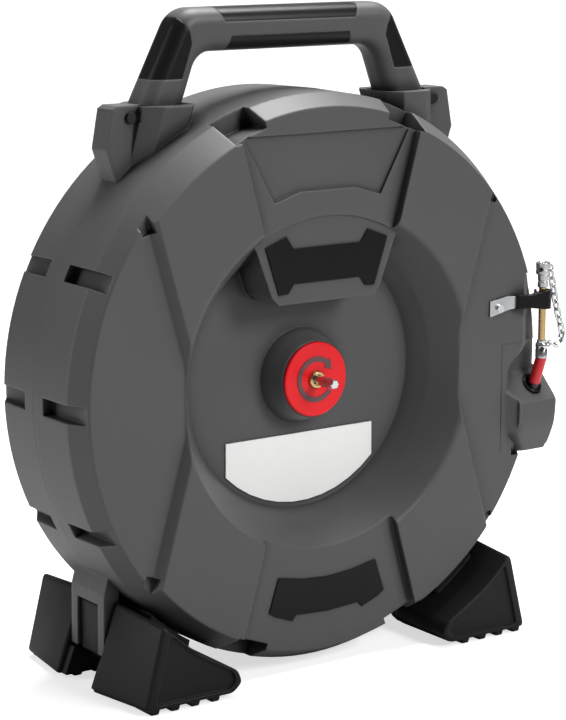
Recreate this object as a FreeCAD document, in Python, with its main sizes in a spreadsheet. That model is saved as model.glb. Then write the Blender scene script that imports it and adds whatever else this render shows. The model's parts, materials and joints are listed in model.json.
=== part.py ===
import FreeCAD, Part
import math
import os
import Sketcher
from FreeCAD import Placement, Rotation, Vector

# Drain cleaning machine: a round two-shell case on two rubber feet, with a
# carrying handle on top. Inside, a carousel holds the coiled cable. A drill
# turns the hex shaft in the middle of the front; the cable leaves through the
# outlet on the right, where its chain knocker is parked in a spring clip.
#
# Everything is drawn about the middle of the case: X to the right, -Y to the
# front, Z up, with the seam of the two shells at Y = 0. The last step lifts
# the model so that the origin is on the floor, in the middle of its outline.

doc = FreeCAD.newDocument("drain_machine")

# ---------------------------------------------------------------- dimensions

DIMENSIONS = {
    # case, in millimetres
    "centre_height": 254, "centre_shift": -10,
    "rim_radius": 250, "shoulder_radius": 249, "rim_wall": 10,
    "front_shoulder": 53, "front_face": 80, "front_inside": 66,
    "rear_shoulder": 52, "rear_face": 74, "rear_inside": 60,
    "face_radius": 234, "dish_edge": 152, "dish_step": 130, "dish_step_depth": 50,
    "dish_floor_radius": 118, "dish_floor": 30, "shell_wall": 5,
    "hub_base": 42.5, "hub_top": 34, "hub_front": 52, "hub_inside": 36, "seat_front": 49,
    "rear_dish_edge": 172, "rear_dish_radius": 156, "rear_dish_floor": 57,
    "sector_step": 8, "sector_inner_x": 70, "sector_inner_z": 130,
    "sector_outer_x": 104, "sector_outer_z": 251,
    "riser_slope": 0.94, "pad_step": 2.5, "notch_width": 15, "notch_start": 15,
    "slot_length": 38, "slot_back": 44,
    "screw_circle": 232, "boss_radius": 7.5, "case_screw": 2.5,
    # recess and outlet on the right of the front shell
    "recess_left": 222, "recess_top": 75, "recess_floor": 59,
    "outlet_left": 210, "outlet_right": 254, "outlet_front": 83, "outlet_back": 37,
    "outlet_bottom": -90, "outlet_slope": 39.5, "tunnel_radius": 7.5,
    # handle and its sockets
    "handle_depth": 36, "handle_round": 13,
    "socket_top": 242, "socket_depth": 33, "ear_half": 12, "ear_screw_x": 160, "ear_screw_z": 233,
    # feet
    "foot_end": 101, "slot_half": 21, "lug_half": 27, "lug_bar": 10, "lug_gap": 0.6, "foot_bottom": -250, "tread": 4,
    "foot_screw_x": 153, "foot_screw_y": 42, "foot_seat": -236,
    # drive line, on the Y axis
    "shaft_flats": 8, "shaft_tip": 83, "shaft_radius": 5, "bush_radius": 7.75, "bush_front": 58,
    "shaft_end": 30, "core_radius": 3,
    "cap_radius": 33, "cap_front": 55, "bearing_radius": 13, "bearing_width": 8,
    "running_gap": 0.05, "coupling_radius": 10,
    # carousel and cable
    "coil_inner": 176, "coil_outer": 220, "coil_half": 24, "sheath_radius": 4.5,
    "small_screw": 1.7, "lead_circle": 213.5, "lead_level": 29.4, "carousel_web": 28,
    "web_thickness": 4, "axle_radius": 7.5, "rear_bearing_radius": 16,
    # parked cable end
    "rod_x": 241, "rod_y": -76, "rod_radius": 3.4, "rod_top": 84, "sleeve_top": -5,
    "collar_radius": 5.6, "sleeve_radius": 5.2, "clip_z": 50, "clip_height": 18, "jaw_gap": 0.35,
    "link_length": 11, "link_width": 6.4, "link_wire": 0.85, "link_pitch": 7.3,
}

sheet = doc.addObject("Spreadsheet::Sheet", "Sizes")
for row, (alias, number) in enumerate(DIMENSIONS.items(), 1):
    sheet.set("A%d" % row, alias)
    sheet.set("B%d" % row, str(number))
    sheet.setAlias("B%d" % row, alias)
doc.recompute()


class Size:
    """A length that carries both its value and its formula in the sheet."""

    def __init__(self, value, formula):
        self.value = value
        self.formula = formula

    def joined(self, other, sign, value):
        text = other.formula if isinstance(other, Size) else "%.6f" % other
        return Size(value, "(%s %s %s)" % (self.formula, sign, text))

    def __add__(self, other):
        return self.joined(other, "+", self.value + plain(other))

    def __sub__(self, other):
        return self.joined(other, "-", self.value - plain(other))

    def __mul__(self, other):
        return self.joined(other, "*", self.value * plain(other))

    def __neg__(self):
        return Size(-self.value, "(0 - %s)" % self.formula)


def plain(length):
    """The number behind a Size, or the number itself."""
    return length.value if isinstance(length, Size) else float(length)


class Sizes:
    """Gives every cell of the sheet as an attribute of the same name."""

    def __getattr__(self, alias):
        return Size(float(DIMENSIONS[alias]), "Sizes." + alias)


S = Sizes()
FRONT, REAR = 1, -1
BACK, UP = Vector(0, 1, 0), Vector(0, 0, 1)
EVEN = Rotation(0, 0, 0)

# -------------------------------------------------------------- sketch tools


def bind(thing, path, length):
    """Sets a property, and ties it to the sheet when the length has a formula."""
    if isinstance(length, Size):
        thing.setExpression(path, length.formula)


def new_sketch(body, role, offset):
    """A sketch on one of the body's own planes, moved along the plane's normal."""
    sketch = body.newObject("Sketcher::SketchObject", "Sketch")
    plane = [item for item in body.Origin.OriginFeatures if item.Role == role][0]
    sketch.AttachmentSupport = [(plane, "")]
    sketch.MapMode = "FlatFace"
    sketch.AttachmentOffset = Placement(Vector(0, 0, plain(offset)), EVEN)
    bind(sketch, "AttachmentOffset.Base.z", offset)
    return sketch


def pin(sketch, index, point, kind, length):
    """Holds one coordinate of a sketch point at a distance from the origin."""
    if plain(length) == 0:
        axis = -2 if kind == "DistanceX" else -1
        sketch.addConstraint(Sketcher.Constraint("PointOnObject", index, point, axis))
        return
    number = sketch.addConstraint(
        Sketcher.Constraint(kind, -1, 1, index, point, plain(length)))
    if isinstance(length, Size):
        sketch.setExpression("Constraints[%d]" % number, length.formula)


def draw_outline(sketch, corners):
    """A closed outline of straight lines, with every corner pinned."""
    first = sketch.GeometryCount
    count = len(corners)
    for index, (x, y) in enumerate(corners):
        x_next, y_next = corners[(index + 1) % count]
        start = Vector(plain(x), plain(y), 0)
        end = Vector(plain(x_next), plain(y_next), 0)
        sketch.addGeometry(Part.LineSegment(start, end), False)
    for index in range(count):
        after = first + (index + 1) % count
        sketch.addConstraint(Sketcher.Constraint("Coincident", first + index, 2, after, 1))
    for index, (x, y) in enumerate(corners):
        pin(sketch, first + index, 1, "DistanceX", x)
        pin(sketch, first + index, 1, "DistanceY", y)


def draw_circle(sketch, x, y, radius):
    circle = Part.Circle(Vector(plain(x), plain(y), 0), Vector(0, 0, 1), plain(radius))
    index = sketch.addGeometry(circle, False)
    pin(sketch, index, 3, "DistanceX", x)
    pin(sketch, index, 3, "DistanceY", y)
    number = sketch.addConstraint(Sketcher.Constraint("Radius", index, plain(radius)))
    if isinstance(radius, Size):
        sketch.setExpression("Constraints[%d]" % number, radius.formula)


def feature(body, kind, sketch, length, reverse=False, middle=False):
    """A Pad or Pocket of the sketch, which becomes the body's tip."""
    made = body.newObject("PartDesign::" + kind, kind)
    made.Profile = sketch
    made.Length = plain(length)
    bind(made, "Length", length)
    made.Reversed = reverse
    made.Midplane = middle
    sketch.Visibility = False
    return made


def new_body(name):
    return doc.addObject("PartDesign::Body", name)


def pad(body, role, offset, corners, length, reverse=False, middle=False):
    sketch = new_sketch(body, role, offset)
    draw_outline(sketch, corners)
    return feature(body, "Pad", sketch, length, reverse, middle)


def pocket(body, role, offset, corners, length, reverse=False, middle=False):
    sketch = new_sketch(body, role, offset)
    draw_outline(sketch, corners)
    return feature(body, "Pocket", sketch, length, reverse, middle)


def turn(body, corners, kind="Revolution"):
    """Turns an outline of (radius, Y) corners about the machine's Y axis."""
    sketch = new_sketch(body, "XY_Plane", 0)
    draw_outline(sketch, corners)
    made = body.newObject("PartDesign::" + kind, kind)
    made.Profile = sketch
    made.ReferenceAxis = (sketch, ["V_Axis"])
    made.Angle = 360
    return made


def holes(body, side, offset, spots, radius, depth):
    """Round holes in the front or rear of a body, as one Pocket."""
    sketch = new_sketch(body, "XZ_Plane", offset * side)
    for x, z in spots:
        draw_circle(sketch, x, z, radius)
    return feature(body, "Pocket", sketch, depth, side == REAR)


def pegs(body, side, offset, spots, radius, length):
    """Round pegs that stand from a plane towards the front or the rear."""
    sketch = new_sketch(body, "XZ_Plane", offset * side)
    for x, z in spots:
        draw_circle(sketch, x, z, radius)
    return feature(body, "Pad", sketch, length, side == REAR)


def dress_edges(body, kind, size, wanted):
    """Fillets or chamfers the edges of the body's tip that the test accepts."""
    doc.recompute()
    tip = body.Tip
    names = []
    for index, edge in enumerate(tip.Shape.Edges, 1):
        if edge.Length > 0.5 and wanted(edge):
            names.append("Edge%d" % index)
    if not names:
        raise ValueError("no edge to dress on " + body.Label)
    made = body.newObject("PartDesign::" + kind, kind)
    made.Base = (tip, names)
    path = "Radius" if kind == "Fillet" else "Size"
    setattr(made, path, plain(size))
    bind(made, path, size)
    return made


def round_edges(body, radius, wanted):
    return dress_edges(body, "Fillet", radius, wanted)


def polar(radius, degrees):
    """A point (X, Z) of the case's face, from its radius and clock angle."""
    angle = math.radians(degrees)
    return radius * math.cos(angle), radius * math.sin(angle)


def ring_spots(radius, angles):
    return [polar(radius, angle) for angle in angles]


def cut(name, base, *tools):
    """The base with every tool taken away, as Part booleans."""
    tool = tools[0] if len(tools) == 1 else fuse(name + "_tools", *tools)
    made = doc.addObject("Part::Cut", name)
    made.Base = base
    made.Tool = tool
    return made


def fuse(name, *pieces):
    made = doc.addObject("Part::MultiFuse", name)
    made.Shapes = list(pieces)
    return made


def common(name, first, second):
    made = doc.addObject("Part::MultiCommon", name)
    made.Shapes = [first, second]
    return made


def shaped(name, shape):
    """A Part::Feature, for a piece made with Part's own functions."""
    made = doc.addObject("Part::Feature", name)
    made.Shape = shape
    return made


parts = {}


def keep(name, thing):
    """Names a finished sub-part, which is written under that name."""
    thing.Label = name
    parts[name] = thing
    return thing

# -------------------------------------------------------------------- shells

# clock angle and depth of the square notches in the rim, and the long slots
NOTCHES = ((-26, 6.5), (26, 8), (154, 10), (180, 10), (206, 10))
SLOT_ANGLES = (69.5, 110.5, 249.5, 290.5)
SCREW_ANGLES = (45, 90, 135, 167, 193, 240, 300)
LEG_SEAT = [(112, 229), (157, 229), (138, 266), (98.5, 266)]
RIM_INSIDE = S.rim_radius - S.rim_wall
REST_ANGLES = (-104, -74)
CLIP_SPOT = (192, 45.5)
BOSS_SPOTS = ring_spots(S.screw_circle, SCREW_ANGLES)


def strip(start, end, width):
    """The four corners of a straight strip between two points of the face."""
    along_x, along_z = end[0] - start[0], end[1] - start[1]
    long = math.hypot(along_x, along_z)
    side_x, side_z = -along_z / long * width / 2, along_x / long * width / 2
    return [(start[0] + side_x, start[1] + side_z), (start[0] - side_x, start[1] - side_z),
            (end[0] - side_x, end[1] - side_z), (end[0] + side_x, end[1] + side_z)]


def mirrored(corners, x_sign, z_sign):
    return [(corner[0] * x_sign, corner[1] * z_sign) for corner in corners]


def add_rim_features(body, side, face, inside, corner):
    """Handle sockets, foot lugs, notches and screw pegs, the same on both shells."""
    for hand in (-1, 1):
        add_socket(body, side, hand)
        add_foot_lug(body, side, hand)
    turn(body, [(200, 0), (RIM_INSIDE, 0), (RIM_INSIDE, (inside - corner) * -side),
                (RIM_INSIDE - 14, inside * -side), (200, inside * -side)], "Groove")
    floor_radius = S.rim_radius.value
    for angle, depth in NOTCHES:
        back_notch(body, side, angle, floor_radius - depth, S.notch_width.value, S.notch_start, inside)
    if side == FRONT:
        for angle in SLOT_ANGLES:
            back_notch(body, side, angle, S.face_radius.value - 2, S.slot_length.value, S.slot_back, inside)
    for angle, depth in NOTCHES:
        cut_notch(body, side, angle, floor_radius - depth, S.notch_width.value, face, face - S.notch_start)
    if side == FRONT:
        for angle in SLOT_ANGLES:
            cut_notch(body, side, angle, S.face_radius.value - 2, S.slot_length.value, face,
                      face - S.slot_back)
    pegs(body, side, 0, BOSS_SPOTS, S.boss_radius, inside)


def back_notch(body, side, angle, radius, width, start, inside):
    """The block inside the rim that closes a notch off from the coil."""
    inside_rim = S.rim_radius.value - S.rim_wall.value
    block = strip(polar(radius - 5, angle), polar(inside_rim, angle), width + 8)
    pad(body, "XZ_Plane", (start - 5) * side, block, inside - start + 5, side == REAR)


def cut_notch(body, side, angle, radius, width, face, depth):
    """A square notch in the rim that is open to the face."""
    gap = strip(polar(radius, angle), polar(S.rim_radius.value + 14, angle), width)
    pocket(body, "XZ_Plane", face * side, gap, depth, side == REAR)


def add_socket(body, side, hand):
    """Half of the faceted collar that takes one leg of the handle, and its ear."""
    depth = S.socket_depth * -side
    high = [(101, 0), (101, 0.6), (112, 1), (138, 1), (152, 0.6), (152, 0)]
    low = [(117, 0), (117, 0.2), (124, 0.45), (150, 0.45), (165, 0.2), (165, 0)]
    levels = ((S.socket_top - 74, low), (S.socket_top, high))
    sketches = []
    for level, corners in levels:
        sketch = new_sketch(body, "XY_Plane", level)
        draw_outline(sketch, [(x * hand, depth * share if share else 0) for x, share in corners])
        sketches.append(sketch)
    collar = body.newObject("PartDesign::AdditiveLoft", "Loft")
    collar.Profile = sketches[0]
    collar.Sections = [sketches[1]]
    collar.Ruled = True
    ear = [(145, 185), (174, 180), (183, 207), (177, 240), (172, 243), (145, 243)]
    pad(body, "XZ_Plane", 0, mirrored(ear, hand, 1), S.ear_half, side == REAR)


def add_foot_lug(body, side, hand):
    """Half of the frame that hangs from the rim around a tongue of the foot."""
    bar = [(186, -150), (196, -150), (201, -168), (201.5, -178), (186, -178)]
    pad(body, "XZ_Plane", 0, mirrored(bar, hand, 1), S.lug_half, side == REAR)
    leg = [(186, -170), (201.2, -170), (202, -222), (186.5, -222)]
    pad(body, "XZ_Plane", (S.lug_half - S.lug_bar) * side, mirrored(leg, hand, 1), S.lug_bar,
        side == REAR)


def seat_cuts(body, side, hand):
    """The space for the handle's leg, and the hole for its screw."""
    pocket(body, "XZ_Plane", S.handle_depth * side * 0.5, mirrored(LEG_SEAT, hand, 1),
           S.handle_depth * 0.5, side == REAR)
    sketch = new_sketch(body, "XZ_Plane", S.ear_half * side)
    draw_circle(sketch, S.ear_screw_x * hand, S.ear_screw_z, S.case_screw)
    feature(body, "Pocket", sketch, S.ear_half, side == REAR)
    sketch = new_sketch(body, "XY_Plane", -255)
    draw_circle(sketch, S.foot_screw_x * hand, S.foot_screw_y * -side, S.case_screw)
    feature(body, "Pocket", sketch, 70, True)


def make_front_shell():
    body = new_body("front_shell_body")
    turn(body, [
        (S.bush_radius, -S.hub_front), (S.hub_top, -S.hub_front),
        (S.hub_base, -S.dish_floor), (S.dish_floor_radius, -S.dish_floor),
        (S.dish_step, -S.dish_step_depth), (S.dish_edge, -S.front_face),
        (S.face_radius, -S.front_face), (S.shoulder_radius, -S.front_shoulder),
        (S.rim_radius, 0), (RIM_INSIDE, 0), (RIM_INSIDE, -S.front_inside + 16),
        (RIM_INSIDE - 14, -S.front_inside), (S.dish_edge, -S.front_inside),
        (S.dish_step + 6, -S.dish_step_depth + 4),
        (S.dish_floor_radius + 4, -S.dish_floor + S.shell_wall),
        (S.hub_top + 2, -S.dish_floor + S.shell_wall), (S.hub_top - 5, -S.hub_inside),
        (S.bearing_radius, -S.hub_inside), (S.bearing_radius, -S.seat_front),
        (S.bush_radius, -S.seat_front)])
    lip = S.dish_edge.value
    round_edges(body, 7, lambda edge: is_ring(edge, lip, -S.front_face.value))
    add_face_steps(body)
    add_label_boss(body)
    add_rim_features(body, FRONT, S.front_face, S.front_inside, 16)
    add_outlet(body)
    for hand in (-1, 1):
        seat_cuts(body, FRONT, hand)
    holes(body, REAR, 0, BOSS_SPOTS, S.case_screw, 22)
    for angle in REST_ANGLES:
        rest = strip(polar(S.lead_circle.value - 8, angle), polar(S.lead_circle.value + 8, angle), 7)
        pad(body, "XZ_Plane", S.lead_level, rest, S.front_inside - S.lead_level + 1)
    holes(body, FRONT, S.front_face - S.sector_step, [CLIP_SPOT], S.small_screw, 10)
    return body


def is_ring(edge, radius, level):
    """True for a round edge of that radius about the machine's axis."""
    if not hasattr(edge.Curve, "Radius"):
        return False
    middle = edge.Curve.Center
    return (abs(edge.Curve.Radius - radius) < 0.5 and abs(middle.y - level) < 0.5
            and math.hypot(middle.x, middle.z) < 0.5)


def add_face_steps(body):
    """The four sectors that are set back between the raised corners of the face."""
    sector = [(-S.sector_inner_x, S.sector_inner_z), (S.sector_inner_x, S.sector_inner_z),
              (S.sector_outer_x, S.sector_outer_z), (-S.sector_outer_x, S.sector_outer_z)]
    for z_sign in (1, -1):
        pocket(body, "XZ_Plane", S.front_face, mirrored(sector, 1, z_sign), S.sector_step)
    name_pad = [(-56, 160), (-30, 168), (30, 168), (56, 160), (88, 217), (-88, 217)]
    pocket(body, "XZ_Plane", S.front_face - S.sector_step, name_pad, S.pad_step)
    for x_sign in (-1, 1):
        sketches = []
        for depth in (-1, S.sector_step.value):
            sketch = new_sketch(body, "XZ_Plane", S.front_face - depth)
            draw_outline(sketch, mirrored(side_sector(depth), x_sign, 1))
            sketches.append(sketch)
        removed = body.newObject("PartDesign::SubtractiveLoft", "Loft")
        removed.Profile = sketches[0]
        removed.Sections = [sketches[1]]
        removed.Ruled = True
        for z_sign in (-1, 1):
            end = mirrored(strip((181, 144), (194, 185), 11), x_sign, z_sign)
            pocket(body, "XZ_Plane", S.front_face, end, 12)


def side_sector(depth):
    """The outline of a side sector at a depth below the face; its risers slope."""
    along = Vector(0.2767, 0.961, 0)
    inward = Vector(0.961, -0.2767, 0) * (S.riser_slope.value * depth)
    near_end = Vector(146.8, 55, 0) + inward - along * 25
    far_end = Vector(146.8, 55, 0) + inward + along * 150
    half = [(near_end.x, near_end.y), (far_end.x, far_end.y), (275, far_end.y)]
    return half + [(x, -z) for x, z in reversed(half)]


def add_label_boss(body):
    """The block that stands up from the dish and carries the upper plate."""
    corners = [(-50, 72), (50, 72), (57, 79), (73, 120), (84, 138), (45, 150), (0, 156), (-45, 150),
               (-84, 138), (-73, 120), (-57, 79)]
    pad(body, "XZ_Plane", S.dish_floor - 2, corners, 42)


def add_outlet(body):
    """The finger recess on the right, and the outlet block with its sloped face."""
    backing = [(183, -30), (238, -30), (241, 0), (238, 40), (224, 90), (183, 90)]
    pad(body, "XZ_Plane", S.recess_floor - 7, backing, 12)
    relief = [(S.recess_left, -71), (S.recess_left + 16, -S.recess_floor), (264, -S.recess_floor),
              (264, -90), (S.recess_left, -90)]
    pocket(body, "XY_Plane", S.recess_top, relief, S.recess_top + 20)
    block = [(S.outlet_left, -18), (S.outlet_right - 2, -18), (S.outlet_right, -44),
             (243, -86), (234, S.outlet_bottom), (218, S.outlet_bottom), (S.outlet_left, -78)]
    pad(body, "XZ_Plane", S.outlet_front, block, S.outlet_front - S.outlet_back, True)
    slope = [(-90, -90 + S.outlet_slope.value), (-57, -57 + S.outlet_slope.value), (-57, 10), (-90, 10)]
    pocket(body, "YZ_Plane", S.outlet_right + 8, slope, S.outlet_right + 8 - S.outlet_left + 9)
    chin = [(-90, -62), (-83, -62), (-66, -94), (-90, -94)]
    pocket(body, "YZ_Plane", S.outlet_right + 8, chin, S.outlet_right + 8 - S.outlet_left)


def make_rear_shell():
    body = new_body("rear_shell_body")
    turn(body, [
        (S.axle_radius, S.rear_dish_floor), (S.rear_dish_radius, S.rear_dish_floor),
        (S.rear_dish_edge, S.rear_face), (S.face_radius, S.rear_face),
        (S.shoulder_radius, S.rear_shoulder), (S.rim_radius, 0), (RIM_INSIDE, 0),
        (RIM_INSIDE, S.rear_inside - 14), (RIM_INSIDE - 14, S.rear_inside),
        (S.rear_dish_edge + 4, S.rear_inside), (S.rear_dish_radius + 6, S.rear_dish_floor - S.shell_wall),
        (S.axle_radius, S.rear_dish_floor - S.shell_wall)])
    edge_radius = S.rear_dish_edge.value
    round_edges(body, 4, lambda edge: is_ring(edge, edge_radius, S.rear_face.value))
    add_rim_features(body, REAR, S.rear_face, S.rear_inside, 14)
    for hand in (-1, 1):
        seat_cuts(body, REAR, hand)
    for angle in range(0, 360, 45):
        rib = strip(polar(60, angle), polar(160, angle), 6)
        pad(body, "XZ_Plane", -S.rear_dish_floor, rib, 6, True)
    holes(body, REAR, S.rear_face, BOSS_SPOTS, S.case_screw + 0.3, S.rear_face)
    holes(body, REAR, S.rear_face, BOSS_SPOTS, 5, 34)
    return body


front_body = make_front_shell()
rear_body = make_rear_shell()
doc.recompute()
keep("rear_shell", rear_body)

# -------------------------------------------------------------------- handle


def make_handle():
    """The whole D-handle, before its soft grips are divided from it."""
    body = new_body("handle_blank")
    arch = [(157, 229), (109.5, 321), (-109.5, 321), (-157, 229),
            (-112, 229), (-92, 284), (92, 284), (112, 229)]
    pad(body, "XZ_Plane", 0, arch, S.handle_depth, False, True)
    round_edges(body, 20, lambda edge: across(edge) and near(edge, 92, 284))
    round_edges(body, 26, lambda edge: across(edge) and near(edge, 109.5, 321))
    flank = S.handle_depth.value / 2
    round_edges(body, S.handle_round, lambda edge: flat_side(edge, flank) and edge.CenterOfMass.z > 229.5)
    return body


def across(edge):
    """True for a straight edge that runs front to back."""
    ends = [vertex.Point for vertex in edge.Vertexes]
    return len(ends) == 2 and math.hypot(ends[0].x - ends[1].x, ends[0].z - ends[1].z) < 0.01


def near(edge, x, z):
    middle = edge.CenterOfMass
    return abs(abs(middle.x) - x) < 3 and abs(middle.z - z) < 3


def flat_side(edge, level):
    """True for an edge that lies wholly in the plane Y = level or Y = -level."""
    limits = edge.BoundBox
    return abs(abs(limits.YMin) - level) < 0.01 and limits.YLength < 0.01


def prism(name, corners, low, high):
    """A Part extrusion of an XZ outline between two Y levels."""
    points = [Vector(x, low, z) for x, z in corners]
    face = Part.Face(Part.makePolygon(points + points[:1]))
    return shaped(name, face.extrude(Vector(0, high - low, 0)))


handle_blank = make_handle()
HALF = S.handle_depth.value / 2
inlay_outline = [(-68, 309), (68, 309), (80, 330), (-80, 330)]
grip_outline = [(-70, 270), (-62, 297), (62, 297), (70, 270)]
leg_outline = [(122, 321), (112, 314), (104, 302), (102, 292), (112, 263), (190, 263), (190, 321)]
leg_web = [(100, 300), (90, 285), (100, 250), (140.5, 250), (114.7, 300)]

top_inlay = common("top_inlay", handle_blank, prism("inlay_prism", inlay_outline, -HALF, HALF))
under_grip = common("under_grip", handle_blank, prism("grip_prism", grip_outline, -HALF, HALF))
leg_pads = []
for hand, side_name in ((-1, "left"), (1, "right")):
    whole = common("pad_blank_" + side_name, handle_blank,
                   prism("pad_prism_" + side_name, mirrored(leg_outline, hand, 1), -HALF, HALF))
    web = prism("pad_web_" + side_name, mirrored(leg_web, hand, 1), -HALF + 5, HALF - 5)
    leg_pads.append(keep("handle_pad_" + side_name, cut("leg_pad_" + side_name, whole, web)))
keep("handle_top_inlay", top_inlay)
keep("handle_under_grip", under_grip)
keep("handle_bar", cut("handle_core", handle_blank, top_inlay, under_grip, *leg_pads))

# ---------------------------------------------------------------------- feet


def make_case_envelope():
    """The outside of the case as a plain solid, which shapes the foot saddles."""
    body = new_body("case_envelope")
    turn(body, [(0, -S.front_face), (S.face_radius, -S.front_face),
                (S.shoulder_radius, -S.front_shoulder), (S.rim_radius, 0),
                (S.shoulder_radius, S.rear_shoulder), (S.face_radius, S.rear_face),
                (0, S.rear_face)])
    return body


def make_foot(hand, side_name):
    """A rubber foot: two end blocks, a bridge under the case, treads and ribs."""
    body = new_body("foot_blank_" + side_name)
    under = [(118, S.foot_bottom), (110, -243), (113, -232)]
    middle = [(192, -172), (217, S.foot_bottom)] + under
    tip = [(188, -178), (206, S.foot_bottom)] + under
    pad(body, "XZ_Plane", 0, mirrored_sizes(middle, hand), S.slot_half * 2, False, True)
    for end in (1, -1):
        sketches = []
        for level, outline in ((S.slot_half, middle), (S.foot_end, tip)):
            sketch = new_sketch(body, "XZ_Plane", level * end)
            draw_outline(sketch, mirrored_sizes(outline, hand))
            sketches.append(sketch)
        block = body.newObject("PartDesign::AdditiveLoft", "Loft")
        block.Profile = sketches[0]
        block.Sections = [sketches[1]]
        block.Ruled = True
    saddle = [(190, -171), (200, -195), (118, -240), (104, -226), (104, -212), (176, -160)]
    pad(body, "XZ_Plane", 0, mirrored_sizes(saddle, hand), 132, False, True)
    for end in (1, -1):
        panel = [(191, -190), (197, -241), (127, -241)]
        pocket(body, "XZ_Plane", S.foot_end * end, mirrored_sizes(panel, hand), 3.5, end == REAR)
        for rib_x in (184, 168, 152, 136):
            top = -177 - (194 - rib_x) * 0.68
            rib = [(rib_x, top - 4), (rib_x + 2, top - 4), (rib_x + 2, top + 14), (rib_x, top + 14)]
            pad(body, "XZ_Plane", 88 * end, mirrored_sizes(rib, hand), 24, end == FRONT)
        for number in range(4):
            left = 132 + 20 * number
            tread = [(left, 26 * end), (left + 10, 26 * end), (left + 10, 99 * end), (left, 99 * end)]
            pad(body, "XY_Plane", S.foot_bottom, mirrored_sizes(tread, hand), S.tread, True)
    room = S.lug_half + S.lug_gap
    slot = [(230, -room), (230, room), (185.6, room), (185.6, -room)]
    pocket(body, "XY_Plane", -140, mirrored_sizes(slot, hand), 83.5)
    gap = [(230, -S.slot_half), (230, S.slot_half), (180, S.slot_half), (180, -S.slot_half)]
    pocket(body, "XY_Plane", -220, mirrored_sizes(gap, hand), 50)
    tongue_half = S.lug_half - S.lug_bar - S.lug_gap
    tongue = [(178, -tongue_half), (178, tongue_half), (199, tongue_half), (199, -tongue_half)]
    pad(body, "XY_Plane", -226, mirrored_sizes(tongue, hand), 47)
    arch = [(120, -19), (120, 19), (190, 19), (190, -19)]
    pocket(body, "XY_Plane", -258, mirrored_sizes(arch, hand), 22, True)
    for end in (1, -1):
        sketch = new_sketch(body, "XY_Plane", -258)
        draw_circle(sketch, S.foot_screw_x * hand, S.foot_screw_y * end, S.case_screw + 0.3)
        feature(body, "Pocket", sketch, 80, True)
        sketch = new_sketch(body, "XY_Plane", -258)
        draw_circle(sketch, S.foot_screw_x * hand, S.foot_screw_y * end, 6)
        feature(body, "Pocket", sketch, S.foot_seat + 258, True)
    return body


def mirrored_sizes(corners, hand):
    """Mirrors an outline left to right, with sheet sizes kept as they are."""
    return [(corner[0] * hand, corner[1]) for corner in corners]


envelope = make_case_envelope()
for hand, side_name in ((-1, "left"), (1, "right")):
    blank = make_foot(hand, side_name)
    keep("foot_" + side_name, cut("foot_cut_" + side_name, blank, envelope))
doc.recompute()

# ---------------------------------------------------------------- drive line


def turned(name, corners):
    """A body made by one Revolution about the machine's axis."""
    body = new_body(name + "_body")
    turn(body, corners)
    return body


def ring(name, inner, outer, low, high):
    """A plain ring about the machine's axis, between two Y levels."""
    return turned(name, [(inner, low), (outer, low), (outer, high), (inner, high)])


BORE = S.shaft_radius + S.running_gap
keep("hub_cap", turned("hub_cap", [
    (S.bush_radius, -S.hub_front), (S.cap_radius, -S.hub_front),
    (S.cap_radius, -S.cap_front + 1), (S.cap_radius - 1, -S.cap_front), (S.bush_radius, -S.cap_front)]))
keep("drive_bush", turned("drive_bush", [
    (BORE, -S.bush_front), (S.bush_radius - 0.8, -S.bush_front), (S.bush_radius, -S.bush_front + 0.8),
    (S.bush_radius, -S.seat_front), (BORE, -S.seat_front)]))
bearing_back = -S.seat_front + S.bearing_width
keep("front_bearing", ring("front_bearing", BORE, S.bearing_radius, -S.seat_front, bearing_back))
keep("bearing_retainer", ring("bearing_retainer", S.bearing_radius - 3.5, S.bearing_radius,
                              bearing_back, bearing_back + 1.5))
keep("shaft_clip", ring("shaft_clip", S.shaft_radius, S.shaft_radius + 3,
                        bearing_back + 0.3, bearing_back + 1.5))


def make_turn_arrow():
    """A flat ring with a gap and an arrow head, the sign for the way to turn."""
    middle, half, thick = 18.0, 2.2, 0.6
    front = -S.cap_front.value
    start, end = math.radians(48), math.radians(322)

    def spot(radius, angle):
        return Vector(radius * math.cos(angle), front, radius * math.sin(angle))

    between = (start + end) / 2
    outer = Part.Arc(spot(middle + half, start), spot(middle + half, between), spot(middle + half, end))
    inner = Part.Arc(spot(middle - half, end), spot(middle - half, between), spot(middle - half, start))
    sides = [outer.toShape(), Part.makeLine(spot(middle + half, end), spot(middle - half, end)),
             inner.toShape(), Part.makeLine(spot(middle - half, start), spot(middle + half, start))]
    band = Part.Face(Part.Wire(sides)).extrude(Vector(0, -thick, 0))
    corners = [spot(middle + 5, start + 0.02), spot(middle - 5, start + 0.02), spot(middle, start - 0.42)]
    head = Part.Face(Part.makePolygon(corners + corners[:1])).extrude(Vector(0, -thick, 0))
    return shaped("turn_arrow_shape", band.fuse(head).removeSplitter())


keep("turn_arrow", make_turn_arrow())


def make_drive_shaft():
    """The round shaft with its hex end, which a drill's chuck grips."""
    body = new_body("drive_shaft_body")
    turn(body, [(0, -S.bush_front + 2), (S.shaft_radius, -S.bush_front + 2),
                (S.shaft_radius, -S.shaft_end), (0, -S.shaft_end)])
    across_corners = S.shaft_flats * (1 / math.sqrt(3))
    corners = [polar(across_corners, 60 * step) for step in range(6)]
    pad(body, "XZ_Plane", S.bush_front - 2, corners, S.shaft_tip - S.bush_front + 2)
    tip = -S.shaft_tip.value
    dress_edges(body, "Chamfer", 0.9, lambda edge: edge.BoundBox.YMax < tip + 0.1)
    return body


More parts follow.
